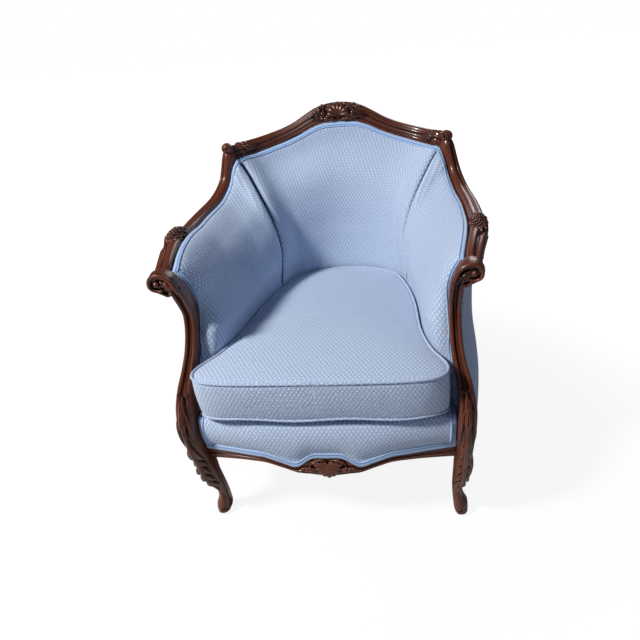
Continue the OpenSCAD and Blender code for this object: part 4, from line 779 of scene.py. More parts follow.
# The knee and the leg: a pair of small volutes ends the channel, a short leaf hangs from them, and a long
# leaf runs down the leg to the ankle.
forward = np.array([0, -1, 0])
knee_leaves = [([(10.9, 0, 0), (10.4, 0, 3.5), (9.8, 0, 5), (9.2, 0, 5), (8.5, 0, 1)],
                [6, 13, 17, 15, 5], 6, 3, 3),
               ([(8.9, 0, 1), (8.3, 0, 4.5), (7.5, 0, 6), (6.6, 0, 5.5), (5.7, 0, 4.5), (4.8, 0, 3.5),
                 (3.9, 0, 2), (3.1, 0, 0)], [6, 11, 13, 14, 12, 9, 7, 3], 6, 0, 2),
               ([(2.6, 0, 0), (1.9, 0, 2), (1.2, 0, 2), (0.6, 0, 0)], [5, 16, 20, 14], 3, 0, 4)]
for side in (-1, 1):
    knee_leaves.append(([(10.2, side * 0.2, 1), (9.5, side * 0.55, 4), (8.8, side * 0.7, 3.5),
                         (8.2, side * 0.66, 0)], [4, 9, 9, 3], 4, 0, 2))
    for k in range(5):
        step, tall = 4.1 + k * 0.86, 4 + 0.5 * min(k, 3)
        knee_leaves.append(([(step + 0.9, side * 0.08, 2.5), (step + 0.45, side * 0.33, tall),
                             (step, side * 0.55, tall - 1), (step - 0.3, side * 0.66, 0)],
                            [5, 10 + 0.6 * k, 10 + 0.6 * k, 4], 3.6, 0, 1.5))
for spine, widths, tall, lobes, droop in knee_leaves:
    post_parts.append(leaf([on_post(*p) for p in spine], forward, widths, tall, lobes, 0.2, droop, 40, 7))
for across in (0.4, -0.4):
    right = np.array([math.copysign(1, across), 0, 0])
    post_parts.append(curl(on_post(10.9, across, 1), right, np.array([0, 0, 1]), 5, 1.2, 1.6))
post_parts.append(ball(on_post(0.75, 0.1, -3), 9.5, 24))
post_parts.append(curl(on_post(0.85, 0.1, 3.5), np.array([1, 0, 0]), np.array([0, 0, 1]), 7, 1.1, 1))

shut_in_shade_and_stain = None
for name, shell in (("right_front_post", together(post_parts)),
                    ("left_front_post", mirrored(together(post_parts)))):
    piece = make_piece(name + "_carved", shell, glossy_mahogany, "chair", [name])
    shut_in_shade_and_stain = mark_hollow_shade_and_stain(piece, shut_in_shade_and_stain)


# Front apron
# The serpentine rail under the seat, of mahogany: a moulded strip below, a rebate for the border's cloth
# above it, and a carved shell in the middle. Its ends meet the posts' inner sides.

inner_rail_h = seat_h * 0.156
rail_top_z = leg_h + inner_rail_h
apron_t, apron_rebate = 28, 9
post_low = 7 / post_count
apron_half = float(post_frame(post_low)[0][0] - post_half_w(post_low)) - gap * 3
low_steps = np.linspace(4, 11, 60) / post_count
low_sides = in_frame(post_frame(low_steps), post_half_w(low_steps), 0)


def to_post(x, z):
    """Carries the ends of a strip between the posts on to the posts' inner sides at that height."""
    reach = np.interp(z, low_sides[:, 2], low_sides[:, 0]) - gap * 2 - apron_half
    return x + np.sign(x) * reach * np.clip(np.abs(x) / apron_half, 0, 1) ** 12


apron_y_shares = [0.053, 0.053, 0.059, 0.075, 0.095]
apron_low_shares = [0.775, 0.8, 0.835, 0.9, 0.955, 0.965, 0.96, 0.945, 0.925]
apron_lip_shares = [1.04, 1.03, 0.925, 0.98, 1.04, 1.055, 1.065, 1.07, 1.075]


def apron_y(x):
    return (amount(apron_y_shares, np.abs(x) / apron_half) - 0.5) * chair_d


def apron_low(x):
    return leg_h * amount(apron_low_shares, np.abs(x) / apron_half)


def apron_lip(x):
    return leg_h * amount(apron_lip_shares, np.abs(x) / apron_half)


strip_outline = moulding([(0.6, 0, 0), (0.1, 0.1, 0.1), (0.1, 0.4, 0.6), (0.34, 0.5, -0.2), (0.34, 0.62, 0),
                          (0, 0.7, 0), (0.04, 0.92, 0.5), (0.5, 1, 0.2)], 6)[6:]
xs = np.linspace(apron_half, -apron_half, 240)
low, lip, front = apron_low(xs), apron_lip(xs), apron_y(xs)
rows = []
for depth_share, rise_share in strip_outline:
    rows.append(np.stack([xs, front + depth_share * apron_rebate, mix(low, lip, rise_share)], 1))
for y, z in ((front + apron_rebate, lip), (front + apron_rebate, rail_top_z + 0 * xs),
             (front + apron_t, rail_top_z + 0 * xs), (front + apron_t, mix(low, lip, 0.1))):
    rows.append(np.stack([xs, y, z], 1))
rows = np.array(rows)
rows[..., 0] = to_post(rows[..., 0], rows[..., 2])
apron_parts = [loft(rows.transpose(1, 0, 2))]


def on_apron(x, rise, proud=0.0):
    return np.array([x, float(apron_y(x)) - proud, float(mix(apron_low(x), apron_lip(x), rise))])


for k in range(9):
    turn = math.radians(mix(-78, 78, k / 8))
    spine = [on_apron(34 * math.sin(turn) * r, 0.84 - 0.84 * math.cos(turn) * r, p)
             for r, p in ((0.1, 2), (0.35, 4), (0.65, 4.2), (0.82, 3), (0.92, 0.2))]
    apron_parts.append(leaf(spine, forward, [4, 7, 10.5, 12, 8], 4))
half_parts = [leaf([on_apron(*p) for p in spine], forward, widths, 4.6, lobes) for spine, widths, lobes in (
    ([(6, 0.9, 1), (18, 0.93, 3), (32, 0.84, 3), (42, 0.62, 1)], [4, 8, 9, 3], 4),
    ([(26, 0.3, 1), (36, 0.42, 3.4), (47, 0.5, 3), (58, 0.4, 0.6)], [5, 15, 13, 3], 4),
    ([(48, 0.62, 0.5), (57, 0.6, 2.4), (66, 0.5, 2), (76, 0.45, 0)], [3, 9, 7, 2], 3))]
half_parts += [ball(on_apron(x, 0.36, 1.5), r, 12) for x, r in ((60, 3.6), (67, 3), (73, 2.4))]
apron_parts += half_parts + [mirrored(part) for part in half_parts]
apron = make_piece("front_apron_carved", together(apron_parts), glossy_mahogany, "chair",
                   ["front_apron"])
mark_hollow_shade_and_stain(apron)


# Rear posts
# The back legs and the stiles above them, one raked piece of mahogany on each side. The leg shows below the
# seat; the stile is behind the cloth, and its top meets the crest.

shell_plan = [
    [0.88, 0.125], [0.9, 0.19], [0.916, 0.285], [0.922, 0.39], [0.914, 0.5], [0.89, 0.61], [0.85, 0.71],
    [0.795, 0.795], [0.715, 0.862], [0.6, 0.895], [0.4, 0.912], [0.2, 0.919], [0, 0.921]]
shell_points = np.array([[p[0] * half_w, (p[1] - 0.5) * chair_d] for p in shell_plan])
shell_corner = 7.6 / 12
outer_t = 4
rail_inset = outer_t + gap * 3


def shell_at(s, inset=0):
    t = tangent(shell_points, s)
    return spline(shell_points, s) + np.stack([-t[..., 1], t[..., 0]], -1) * inset


rear_w = 34
rear_seat = shell_at(shell_corner, rail_inset + gap * 4 + rear_w / 2)
t = tangent(shell_points, shell_corner)
rear_along, rear_across = t, np.array([t[1], -t[0]])
rear_top = in_frame(crest_frame(0.035), -crest_t * 0.1, -crest_half_w(0.035) - gap * 4)
rake = chair_d * 0.1
rear_rows = np.array([
    [*(rear_seat + [rake * 0.1, rake]), 4 + gap, 0.7, 0.7],
    [*(rear_seat + [rake * 0.06, rake * 0.58]), leg_h * 0.3, 0.76, 0.76],
    [*(rear_seat + [rake * 0.02, rake * 0.2]), leg_h * 0.66, 0.9, 0.9],
    [*rear_seat, leg_h * 0.97, 1, 1], [*rear_seat, rail_top_z, 1, 1],
    [*mix(rear_seat, rear_top[:2], 0.35), mix(rail_top_z, rear_top[2], 0.35), 0.9, 0.75],
    [*mix(rear_seat, rear_top[:2], 0.75), mix(rail_top_z, rear_top[2], 0.75), 0.85, 0.42],
    [*rear_top, 0.75, 0.28]])
square = moulding([(-0.8, -1, 0), (0.8, -1, 0), (1, -0.8, 0.4), (1, 0.8, 0), (0.8, 1, 0.4), (-0.8, 1, 0),
                   (-1, 0.8, 0.4), (-1, -0.8, 0)], 4)
rows = spline(rear_rows, np.linspace(0, 1, 90))
rows[:, 3:] = np.array([np.interp(np.linspace(0, 7, 90), range(8), rear_rows[:, k]) for k in (3, 4)]).T
plan_points = (rows[:, None, :2] + rear_along * square[None, :, 1:2] * rear_w / 2 * rows[:, None, 3:4]
               + rear_across * square[None, :, 0:1] * rear_w / 2 * rows[:, None, 4:5])
rear_shell = loft(np.concatenate([plan_points,
                                  np.broadcast_to(rows[:, None, 2:3], plan_points.shape[:2] + (1,))], 2))
for name, shell in (("right_rear_post", rear_shell), ("left_rear_post", mirrored(rear_shell))):
    piece = make_piece(name + "_shaped", shell, glossy_mahogany, "chair", [name])
    mark_hollow_shade_and_stain(piece)


# Inside arms and inside back
# Padded fixed upholstery: cotton and horsehair under one blue cloth on each arm and on the back, pulled
# tight over the frame, tacked into the rebate along the wood and sewn together in the two valleys.

pad_t, pad_edge_t, inset_face = 26, 6, 5
side_gap, back_gap, back_r = 4, 10.5, 186
seam_gap = 1.5
welt_r = 3
boxing_h = seat_h * 0.264
groove, groove_h = welt_r * 2.7, welt_r * 2.1
cushion_bottom_z = seat_h - boxing_h - welt_r * 2
deck_z = cushion_bottom_z - gap
pad_bottom_z = rail_top_z + gap * 2
wall_top_z = seat_h + groove_h
rail_from, corner_share = 0.03, 0.88
outer_corner = mix(rail_from, corner_share, 19 / 18)
back_from = 0.012


def rail_edge(s, inset, sign=1):
    """A place under the rail, in from its inner side, or from its outer side with sign -1."""
    return in_frame(rail_frame(s), sign * (rail_half_w(s) - inset), -rail_half_t(s) - gap)


def rail_side(s):
    """A place on the rail's inner side, where the face of the arm's cloth begins."""
    return in_frame(rail_frame(s), rail_half_w(s) + 0.8, -0.15 * rail_half_t(s))


def crest_edge(s, inset, sign=1):
    return in_frame(crest_frame(s), sign * (crest_t / 2 - inset), -crest_half_w(s) - gap)


def post_edge(s, inset, sign=1):
    return in_frame(post_frame(s), sign * (post_half_w(s) - inset), -post_half_t(s) - gap)


arc_y = (0.866 - 0.5) * chair_d - back_r
cushion_half = [[0, 0.008], [0.267, 0.009], [0.5, 0.013], [0.63, 0.024], [0.705, 0.048], [0.728, 0.085],
                [0.702, 0.14], [0.66, 0.191], [0.618, 0.254], [0.584, 0.334], [0.562, 0.437], [0.539, 0.53],
                [0.505, 0.615], [0.462, 0.692]]
half = [[p[0] * half_w, (p[1] - 0.5) * chair_d]
        for p in cushion_half] + [[back_r * math.cos(math.radians(a)),
                                   arc_y + back_r * math.sin(math.radians(a))] for a in (42, 54, 66, 78, 90)]
outline_points = np.array(half + [[-x, y] for x, y in half[-2::-1]])
outline_last = len(outline_points) - 1
seam_index, arm_first, back_index = 13, 6, 18
heart = np.array([0, (0.42 - 0.5) * chair_d])


def outline_at(i):
    return outline_points[np.asarray(i) % outline_last]


def outline_normal(i):
    t = unit(outline_at(np.asarray(i) + 1) - outline_at(np.asarray(i) - 1))
    return np.stack([t[..., 1], -t[..., 0]], -1)


def outline_out(i, d):
    return outline_at(i) + outline_normal(i) * d


def with_z(p, z):
    p = np.asarray(p, float)
    return np.concatenate([p[..., :2],
                           np.broadcast_to(np.asarray(z, float)[..., None], p.shape[:-1] + (1,))], -1)


def column(t):
    return np.asarray(t, float)[..., None]


def ramp(x, start, reach):
    """0 up to the start, then evenly up to 1 over the reach."""
    return np.clip((x - start) / reach, 0, 1)


def crowded(count):
    """Numbers from 0 to 1 that lie closer together near both ends."""
    even = np.linspace(0, 1, count)
    return mix(even, 0.5 - 0.5 * np.cos(math.pi * even), 0.7)


def patch(bottom, top, front, rear, u, v):
    """A surface between four edges."""
    return (mix(bottom(u), top(u), column(v)) + mix(front(v), rear(v), column(u))
            - mix(mix(bottom(0 * u), bottom(0 * u + 1), column(u)),
                  mix(top(0 * u), top(0 * u + 1), column(u)), column(v)))


def walled(low, seat, top, front, rear):
    """A wall beside the cushion with a patch above it."""
    def surface(u, v):
        u, v = np.broadcast_arrays(np.asarray(u, float), np.asarray(v, float))
        w = wall_share
        rise = column(np.clip(v / w, 0, 1))
        below = (mix(low(u), seat(u), rise)
                 + (front(np.minimum(v, w)) - mix(low(0 * u), seat(0 * u), rise)) * column((1 - u) ** 14))
        t = ramp(v, w, 1 - w)
        above = patch(seat, top, lambda k: front(mix(w, 1, k)), lambda k: rear(mix(w, 1, k)), u, t)
        return np.where(column(v) < w, below, above)
    return surface


seam_upper = np.array([place(p)
                       for p in [[0.464, 0.73, 1.72], [0.496, 0.742, 1.88], [0.562, 0.76, 2.035],
                                 [0.66, 0.805, 2.3]]])
seam_across = outline_normal(seam_index)
seam_along = np.array([-seam_across[1], seam_across[0]])


def seam_curve(out, along, top):
    low = outline_out(seam_index, side_gap + out) + seam_along * along
    upper = seam_upper + [*(seam_across * out + seam_along * along), 0]
    pts = np.vstack([[*low, wall_top_z], upper, top])

    def curve(v):
        v = np.asarray(v, float)
        wall = with_z(np.broadcast_to(low, v.shape + (2,)),
                      mix(pad_bottom_z, wall_top_z, np.clip(v / wall_share, 0, 1)))
        return np.where(column(v) < wall_share, wall, spline(pts, ramp(v, wall_share, 1 - wall_share)))
    return curve


def joint_corner(inset):
    """Where the arm, the back and the two rails meet."""
    return mix(rail_edge(0.915, inset), crest_edge(back_from, inset), 0.6)


def arm_sheet(inset, out):
    """One side of an arm's padding; inset and out move it back from the cloth side."""
    def top(u):
        u = np.asarray(u, float)
        reach = column(ramp(u, 0.93, 0.07) ** 1.5)
        s = mix(rail_from, corner_share, u)
        return mix(rail_edge(s, inset) if out else rail_side(s), joint_corner(inset), reach)

    step = top(0.0) - post_edge(neck_share, inset)

    def front(v):
        return post_edge(post_rise(v), inset) + step * column(np.asarray(v, float) ** 6)

    rear = seam_curve(pad_edge_t if out else 0, -seam_gap, top(1.0))

    def line(z, v):
        pts = [front(v)] + [with_z(outline_out(i, side_gap * (1 + max(0, arm_first + 2 - i)) + out), z)
                            for i in range(arm_first + 1, seam_index)] + [rear(v)]
        return lambda u: spline(pts, u)
    return walled(line(pad_bottom_z, 0.0), line(wall_top_z, wall_share), top, front, rear)


def back_sheet(inset, out):
    def top(u):
        u = np.asarray(u, float)
        edge = crest_edge(mix(back_from, 1 - back_from, u), inset)
        for near, corner in ((u, joint_corner(inset)), (1 - u, joint_corner(inset) * flip)):
            edge = mix(edge, corner, column(np.clip((0.03 - near) / 0.03, 0, 1)))
        return edge

    right = seam_curve(pad_edge_t if out else 0, seam_gap, top(0.0))

    def left(v):
        return right(v) * flip

    def line(z, v):
        half = [with_z(outline_out(i, back_gap + out), z) for i in range(seam_index + 1, back_index)]
        middle = [with_z(outline_out(back_index, back_gap + out), z)]
        pts = [right(v)] + half + middle + [p * flip for p in half[::-1]] + [right(v) * flip]
        return lambda u: spline(pts, u)
    return walled(line(pad_bottom_z, 0.0), line(wall_top_z, wall_share), top, right, left)


def normals_of(grid):
    """Unit normals of a grid of points, by the directions of its two sides."""
    return unit(np.cross(np.gradient(grid, axis=0), np.gradient(grid, axis=1)) + 1e-9)


def along_rows(grid):
    """Running lengths of a grid in its two directions, in mm, as the cloth's own measure."""
    def run(axis):
        d = np.linalg.norm(np.diff(grid, axis=axis), axis=-1)
        return np.insert(np.cumsum(d, axis=axis), 0, 0, axis=axis)
    across, rise = run(0), run(1)
    return np.stack([across - across[:1] - across[-1:].mean() / 2, rise], -1)


def puff(surface, nu, nv, swell, seams):
    """Samples a padded surface; it swells between its edges and dips into its sewn seams."""
    u, v = np.meshgrid(crowded(nu), np.linspace(0, 1, nv), indexing="ij")
    grid = surface(u, v)
    out = normals_of(grid)
    if (out[nu // 2, nv * 3 // 4] @ (np.array([0, -100, 560]) - grid[nu // 2, nv * 3 // 4])) < 0:
        out = -out
    size = along_rows(grid)
    far = [size[..., 0] - size[:1, :, 0], size[-1:, :, 0] - size[..., 0]]
    top = size[:, -1:, 1] - size[..., 1]
    above = ramp(v, wall_share, 0.12)
    edge = np.minimum(np.minimum(far[0], far[1]), top)
    edge = np.maximum(edge, 0)
    lift = (swell * (1 - np.exp(-(edge / 7) ** 1.5)) + 4 * (1 - np.exp(-edge / 35))) * above
    for k in seams:
        lift -= 5 * np.exp(-(far[k] / 3) ** 2) * ramp(v, wall_share, 0.05)
    x, y, z = grid[..., 0], grid[..., 1], grid[..., 2]
    lift += above * np.clip(edge / 40, 0, 1) * 0.7 * (np.sin(x / 31 + z / 47) * np.sin(y / 37 - z / 29 + 1.3))
    return grid + out * lift[..., None], size


# Cotton cloth, woven with small pale lozenges set like bricks on a periwinkle ground: each lozenge is 9.5 mm
# from its neighbour, with the next row 7 mm higher. The threads are drawn 2 mm apart, coarser than real ones,
# so that they show, and slightly uneven.
lozenge_cotton, tree = new_finish("woven_lozenge_cotton")
lie = add_node(tree, "ShaderNodeUVMap", {"uv_map": "cloth"})
slub = add_node(tree, "ShaderNodeTexNoise", {}, {"Vector": lie.outputs[0], "Scale": 320.0, "Detail": 2.0})
uneven = add_node(tree, "ShaderNodeMath", {"operation": "MULTIPLY_ADD"},
                  {0: slub.outputs["Fac"], 1: 0.5, 2: -0.25})
spots = []
for shift in (0.0, 0.5):
    laid = add_node(tree, "ShaderNodeMapping", {},
                    {"Vector": lie.outputs[0], "Scale": (1 / 0.0095, 1 / 0.014, 1),
                     "Location": (shift, shift, 0)})
    cell = add_node(tree, "ShaderNodeVectorMath", {"operation": "FRACTION"}, {0: laid.outputs[0]})
    off = add_node(tree, "ShaderNodeVectorMath", {"operation": "SUBTRACT"},
                   {0: cell.outputs[0], 1: (0.5, 0.5, 0)})
    away = add_node(tree, "ShaderNodeVectorMath", {"operation": "ABSOLUTE"}, {0: off.outputs[0]})
    parts = add_node(tree, "ShaderNodeSeparateXYZ", {}, {0: away.outputs[0]})
    far_off = add_node(tree, "ShaderNodeMath", {"operation": "ADD"},
                       {0: parts.outputs[0], 1: parts.outputs[1]})
    far_off = add_node(tree, "ShaderNodeMath", {"operation": "ADD"},
                       {0: far_off.outputs[0], 1: uneven.outputs[0]})
    spots.append(add_node(tree, "ShaderNodeMapRange", {"interpolation_type": "SMOOTHSTEP"},
                          {"Value": far_off.outputs[0], "From Min": 0.47, "From Max": 0.12}).outputs[0])
lozenge = add_node(tree, "ShaderNodeMath", {"operation": "MAXIMUM"}, {0: spots[0], 1: spots[1]})
warp = add_node(tree, "ShaderNodeTexWave", {"bands_direction": "X"},
                {"Vector": lie.outputs[0], "Scale": 160.0, "Distortion": 0.6, "Detail": 1.0})
weft = add_node(tree, "ShaderNodeTexWave", {"bands_direction": "Y"},
                {"Vector": lie.outputs[0], "Scale": 160.0, "Distortion": 0.6, "Detail": 1.0})
rib = add_node(tree, "ShaderNodeMath", {"operation": "MULTIPLY"},
               {0: warp.outputs["Fac"], 1: weft.outputs["Fac"]})
spot = add_node(tree, "ShaderNodeTexCoord")
fade = add_node(tree, "ShaderNodeTexNoise", {},
                {"Vector": spot.outputs["Object"], "Scale": 6.0, "Detail": 3.0})
ground = add_node(tree, "ShaderNodeMix", {"data_type": "RGBA"},
                  {0: fade.outputs["Fac"], 6: linear("#8fa4c7"), 7: linear("#9bafcf")})
threaded = add_node(tree, "ShaderNodeMix", {"data_type": "RGBA"},
                    {0: rib.outputs[0], 6: ground.outputs[2], 7: linear("#a6b7d5")})
figured = add_node(tree, "ShaderNodeMix", {"data_type": "RGBA"},
                   {0: lozenge.outputs[0], 6: threaded.outputs[2], 7: linear("#c6d2e6")})
# Painted shade: the cloth turns dark navy #1d3560 in the creases along the sewn seams.
sewn = add_node(tree, "ShaderNodeAttribute", {"attribute_name": "seam"})
figured = add_node(tree, "ShaderNodeMix", {"data_type": "RGBA"},
                   {0: sewn.outputs["Fac"], 6: figured.outputs[2], 7: linear("#1d3560")})
relief = add_node(tree, "ShaderNodeMath", {"operation": "MULTIPLY_ADD"},
                  {0: rib.outputs[0], 1: 0.4, 2: lozenge.outputs[0]})
add_surface(tree, {"Base Color": figured.outputs[2], "Roughness": 0.85, "Sheen Weight": 0.25,
                   "Sheen Roughness": 0.5}, relief.outputs[0], 0.5, 0.0009)


def lay_cloth(piece, measure):
    """Gives a piece the cloth's own measure as its UV map, from mm at each point."""
    mesh = piece.data
    corner = np.empty(len(mesh.loops), int)
    mesh.loops.foreach_get("vertex_index", corner)
    laid_out = np.asarray(measure).reshape(-1, 2)[corner] / 1000
    mesh.uv_layers.new(name="cloth").data.foreach_set("uv", laid_out.ravel())


def make_pad(name, face, size, rear_surface, flipped, replaced, seams, under=()):
    """A closed pad between a face grid and its rear, with painted shade along its seams; rows in under lie
    beneath wood.
    """
    rear_steps = 12
    u, v = np.meshgrid(crowded(len(face)), np.linspace(0, 1, rear_steps), indexing="ij")
    rows = [row[:, None] for row in under]
    shell = loft(np.concatenate([face] + rows + [rear_surface(u, v)[:, ::-1]], 1))
    if flipped:
        shell = mirrored(shell)
    measure = np.concatenate([size, np.repeat(size[:, -1:], rear_steps + len(rows), 1)], 1)
    piece = make_piece(name, shell, lozenge_cotton, "chair", [replaced], 60)
    lay_cloth(piece, measure)
    # Painted shade in the seams' creases: the cloth darkens within about 4 mm of a sewn seam, on the face
    # above the wall.
    far = np.min([(measure[..., 0] - measure[:1, :, 0], measure[-1:, :, 0] - measure[..., 0])[k]
                  for k in seams], 0)
    sewn = np.clip((4.2 - far) / 2.4, 0, 0.95) * (np.arange(measure.shape[1]) > wall_share * face.shape[1])
    piece.data.attributes.new("seam", "FLOAT", "POINT").data.foreach_set("value", sewn.ravel())


arm_cloth, arm_size = puff(arm_sheet(inset_face, 0), nu=130, nv=130, swell=9, seams=[1])
back_cloth, back_size = puff(back_sheet(inset_face, 0), nu=190, nv=130, swell=7, seams=[0, 1])
under_rail = rail_edge(mix(rail_from, corner_share, crowded(len(arm_cloth))), inset_face)
ear_rows = 12
under_rail[-ear_rows:] = mix(under_rail[-ear_rows:], arm_cloth[-ear_rows:, -1] - [0, 0, 1],
                             np.linspace(0, 1, ear_rows)[:, None])
for name, flipped in (("right_inside_arm", False), ("left_inside_arm", True)):
    make_pad(name + "_pad", arm_cloth, arm_size, arm_sheet(inset_face + pad_edge_t, pad_t), flipped, name,
             [1], [under_rail])
make_pad("inside_back_pad", back_cloth, back_size, back_sheet(inset_face + pad_edge_t, pad_t * 0.8), False,
         "inside_back", [0, 1])


# Outside arms and outside back
# The same cloth over a lining, drawn from the underside of the show wood down to the seat rails, where it is
# tacked. The pieces meet at the rear posts in a blind-stitched seam.

shell_bottom_z = leg_h - 8
shell_inset = 1
stitch = np.append(tangent(shell_points, shell_corner) * 0.7, 0)


def rear_corner(extra):
    """The top of the seam between an outside arm and the outside back, under the two rails' ends."""
    return mix(rail_edge(outer_corner, shell_inset + extra, -1),
               crest_edge(back_from, shell_inset + extra, -1), 0.5)


def outer_arm(extra):
    def top(u):
        u = np.asarray(u, float)
        edge = rail_edge(mix(rail_from, outer_corner, u), shell_inset + extra, -1)
        return mix(edge, rear_corner(extra) - stitch, column(ramp(u, 0.94, 0.06) ** 1.5))

    step = top(0.0) - post_edge(neck_share, shell_inset + extra, -1)
    drop = np.array([0, 0, shell_bottom_z - post_edge(post_low, shell_inset + extra, -1)[2]])

    def front(v):
        v = np.asarray(v, float)
        return (post_edge(mix(post_low, neck_share, v), shell_inset + extra, -1) + drop * column((1 - v) ** 3)
                + step * column(v ** 6))
    pts = [front(0.0)] + [with_z(shell_at(i / 12, extra), shell_bottom_z) for i in range(1, 8)] + [
        with_z(shell_at(shell_corner, extra), shell_bottom_z) - stitch]
    return lambda u, v: patch(lambda k: spline(pts, k), top, front,
                              lambda k: mix(spline(pts, 1.0), top(1.0), column(k)), u, v)


def outer_back(extra):
    def top(u):
        u = np.asarray(u, float)
        edge = crest_edge(mix(back_from, 1 - back_from, u), shell_inset + extra, -1)
        for near, corner in ((u, rear_corner(extra) + stitch), (1 - u, (rear_corner(extra) + stitch) * flip)):
            edge = mix(edge, corner, column(np.clip((0.05 - near) / 0.05, 0, 1) ** 1.5))
        return edge
    half = [with_z(shell_at(shell_corner, extra), shell_bottom_z) + stitch]
    half += [with_z(shell_at(i / 12, extra), shell_bottom_z) for i in range(8, 12)]
    pts = half + [with_z(shell_at(1.0, extra), shell_bottom_z)] + [p * flip for p in half[::-1]]
    return lambda u, v: patch(lambda k: spline(pts, k), top,
                              lambda k: mix(spline(pts, 0.0), top(0.0), column(k)),
                              lambda k: mix(spline(pts, 1.0), top(1.0), column(k)), u, v)


def make_skin(replaced, outer, nu, nv, flipped):
    u, v = np.meshgrid(np.linspace(0, 1, nu), np.linspace(0, 1, nv), indexing="ij")
    face, rear = outer(0)(u, v), outer(outer_t)(u, v)
    shell = loft(np.concatenate([face, rear[:, ::-1]], 1))
    if flipped:
        shell = mirrored(shell)
    size = along_rows(face)
    piece = make_piece(replaced + "_cloth", shell, lozenge_cotton, "chair", [replaced], 60)
    lay_cloth(piece, np.concatenate([size, size[:, ::-1]], 1))


for name, outer, nu, flipped in (("right_outside_arm", outer_arm, 110, False),
                                 ("left_outside_arm", outer_arm, 110, True),
                                 ("outside_back", outer_back, 150, False)):
    make_skin(name, outer, nu, 60, flipped)


# Front border
# A stuffed roll of the same cloth above the apron, tacked into its rebate below and to the seat frame behind.
# The cushion's front rests above it.

border_half = apron_half - 1
border_swell, face_steps = 15, 44
xs = np.linspace(border_half, -border_half, 170)
low, front = apron_lip(xs) + gap, apron_y(xs)
rise = deck_z - low
side = np.minimum(1, (1 - np.abs(xs) / border_half) * 12 + 0.6)
over = 4 * np.clip((1 - np.abs(xs) / border_half) * 9, 0, 1)
face_points = []
for share, bulge in ((0, 0.03), (0.1, 0.12), (0.2, 0.24), (0.32, 0.62), (0.5, 0.95), (0.68, 1),
                     (0.85, 0.78), (0.97, 0.35)):
    face_points.append(np.stack([xs, front - bulge * border_swell * side, low + share * (rise + over)], 1))
face_points.append(np.stack([xs, front + apron_t * 0.3, deck_z + over], 1))
flat_rows = np.array(face_points).reshape(len(face_points), -1)
rounded = spline(flat_rows, np.linspace(0, 1, face_steps)).reshape(face_steps, -1, 3)
rear_points = [np.stack([xs, y, z + 0 * xs], 1) for y, z in (
    (front + apron_t + gap * 6, deck_z), (front + apron_t + gap * 6, rail_top_z + gap),
    (front + apron_rebate - gap, rail_top_z + gap), (front + apron_rebate - gap, low))]
border_rings = np.concatenate([rounded, np.array(rear_points)]).transpose(1, 0, 2)
border_rings[..., 0] = to_post(border_rings[..., 0], border_rings[..., 2])
border = make_piece("front_border_pad", loft(border_rings), lozenge_cotton, "chair",
                    ["front_border"], 60)
lay_cloth(border, border_rings[..., [0, 2]])


# Seat deck
# The plain blue platform cloth over a thin pad of cotton on the burlap, under the loose cushion. Its ribs
# are drawn 2 mm apart, coarser than real threads.


def two_tone_finish(name, pattern, settings, values, tones, looks, *relief):
    """A finish that wavers between two tones by a texture; relief, if any, is its strength and depth."""
    finish, tree = new_finish(name)
    spot = add_node(tree, "ShaderNodeTexCoord")
    texture = add_node(tree, pattern, settings, {"Vector": spot.outputs["Object"], **values})
    height = texture.outputs["Distance" if pattern == "ShaderNodeTexVoronoi" else "Fac"]
    dark, light = map(linear, tones)
    tone = add_node(tree, "ShaderNodeMix", {"data_type": "RGBA"}, {0: height, 6: dark, 7: light})
    add_surface(tree, {"Base Color": tone.outputs[2], **looks}, height if relief else None, *relief)
    return finish


deck_cotton = two_tone_finish("plain_deck_cotton", "ShaderNodeTexWave", {},
                              {"Scale": 150.0, "Distortion": 1.0}, ("#7f96c0", "#93a9cf"),
                              {"Roughness": 0.9, "Sheen Weight": 0.2}, 0.3, 0.0006)
deck_t, deck_inset = 13, gap * 3


def drawn_in(p):
    q = p[..., :2] - heart
    return heart + q * (1 - deck_inset / np.linalg.norm(q, axis=-1, keepdims=True))


arm_low = arm_sheet(inset_face, 0)(np.linspace(2 / 18, 1, 40), np.zeros(40))
back_low = back_sheet(inset_face, 0)(np.linspace(1 / 24, 23 / 24, 60), np.zeros(60))
deck_front_x = np.linspace(-0.86, 0.86, 30) * apron_half
deck_front = np.stack([deck_front_x, apron_y(deck_front_x) + apron_t + gap * 6 + deck_inset], 1)
arm_side = drawn_in(arm_low)
deck_line = np.concatenate([deck_front, arm_side, drawn_in(back_low), (arm_side * [-1, 1])[::-1]])
centre = deck_line.mean(0)
rings = []
for size, rise in ((0.02, 0), (0.5, 0), (0.9, 0), (0.985, 0), (1, 2.5), (1, deck_t - 4),
                   (0.985, deck_t - 1.5), (0.94, deck_t - 0.3), (0.6, deck_t), (0.02, deck_t)):
    rings.append(with_z(centre + (deck_line - centre) * size, deck_z - deck_t + rise))
deck = make_piece("seat_deck_pad", loft(np.array(rings)), deck_cotton, "chair",
                  ["seat_deck"], 60)


# Dust cover
# Black cambric stretched under the seat frame, notched round the rear posts and flecked in specks of 1.4 mm.
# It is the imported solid, and its front edge lies 51 mm behind the middle of the apron.

black_cambric = two_tone_finish("black_cambric", "ShaderNodeTexNoise", {}, {"Scale": 700.0, "Detail": 2.0},
                                ("#131316", "#2c2c30"), {"Roughness": 0.95})
dress(black_cambric, "dust_cover")


# Gimp
# A corded braid of two round bands with a sunk thread between them, 12.5 mm wide, or 15 mm on the border, and
# a brighter blue than the cloth, with cords 3 mm apart. It is glued along the edges where cloth meets wood.

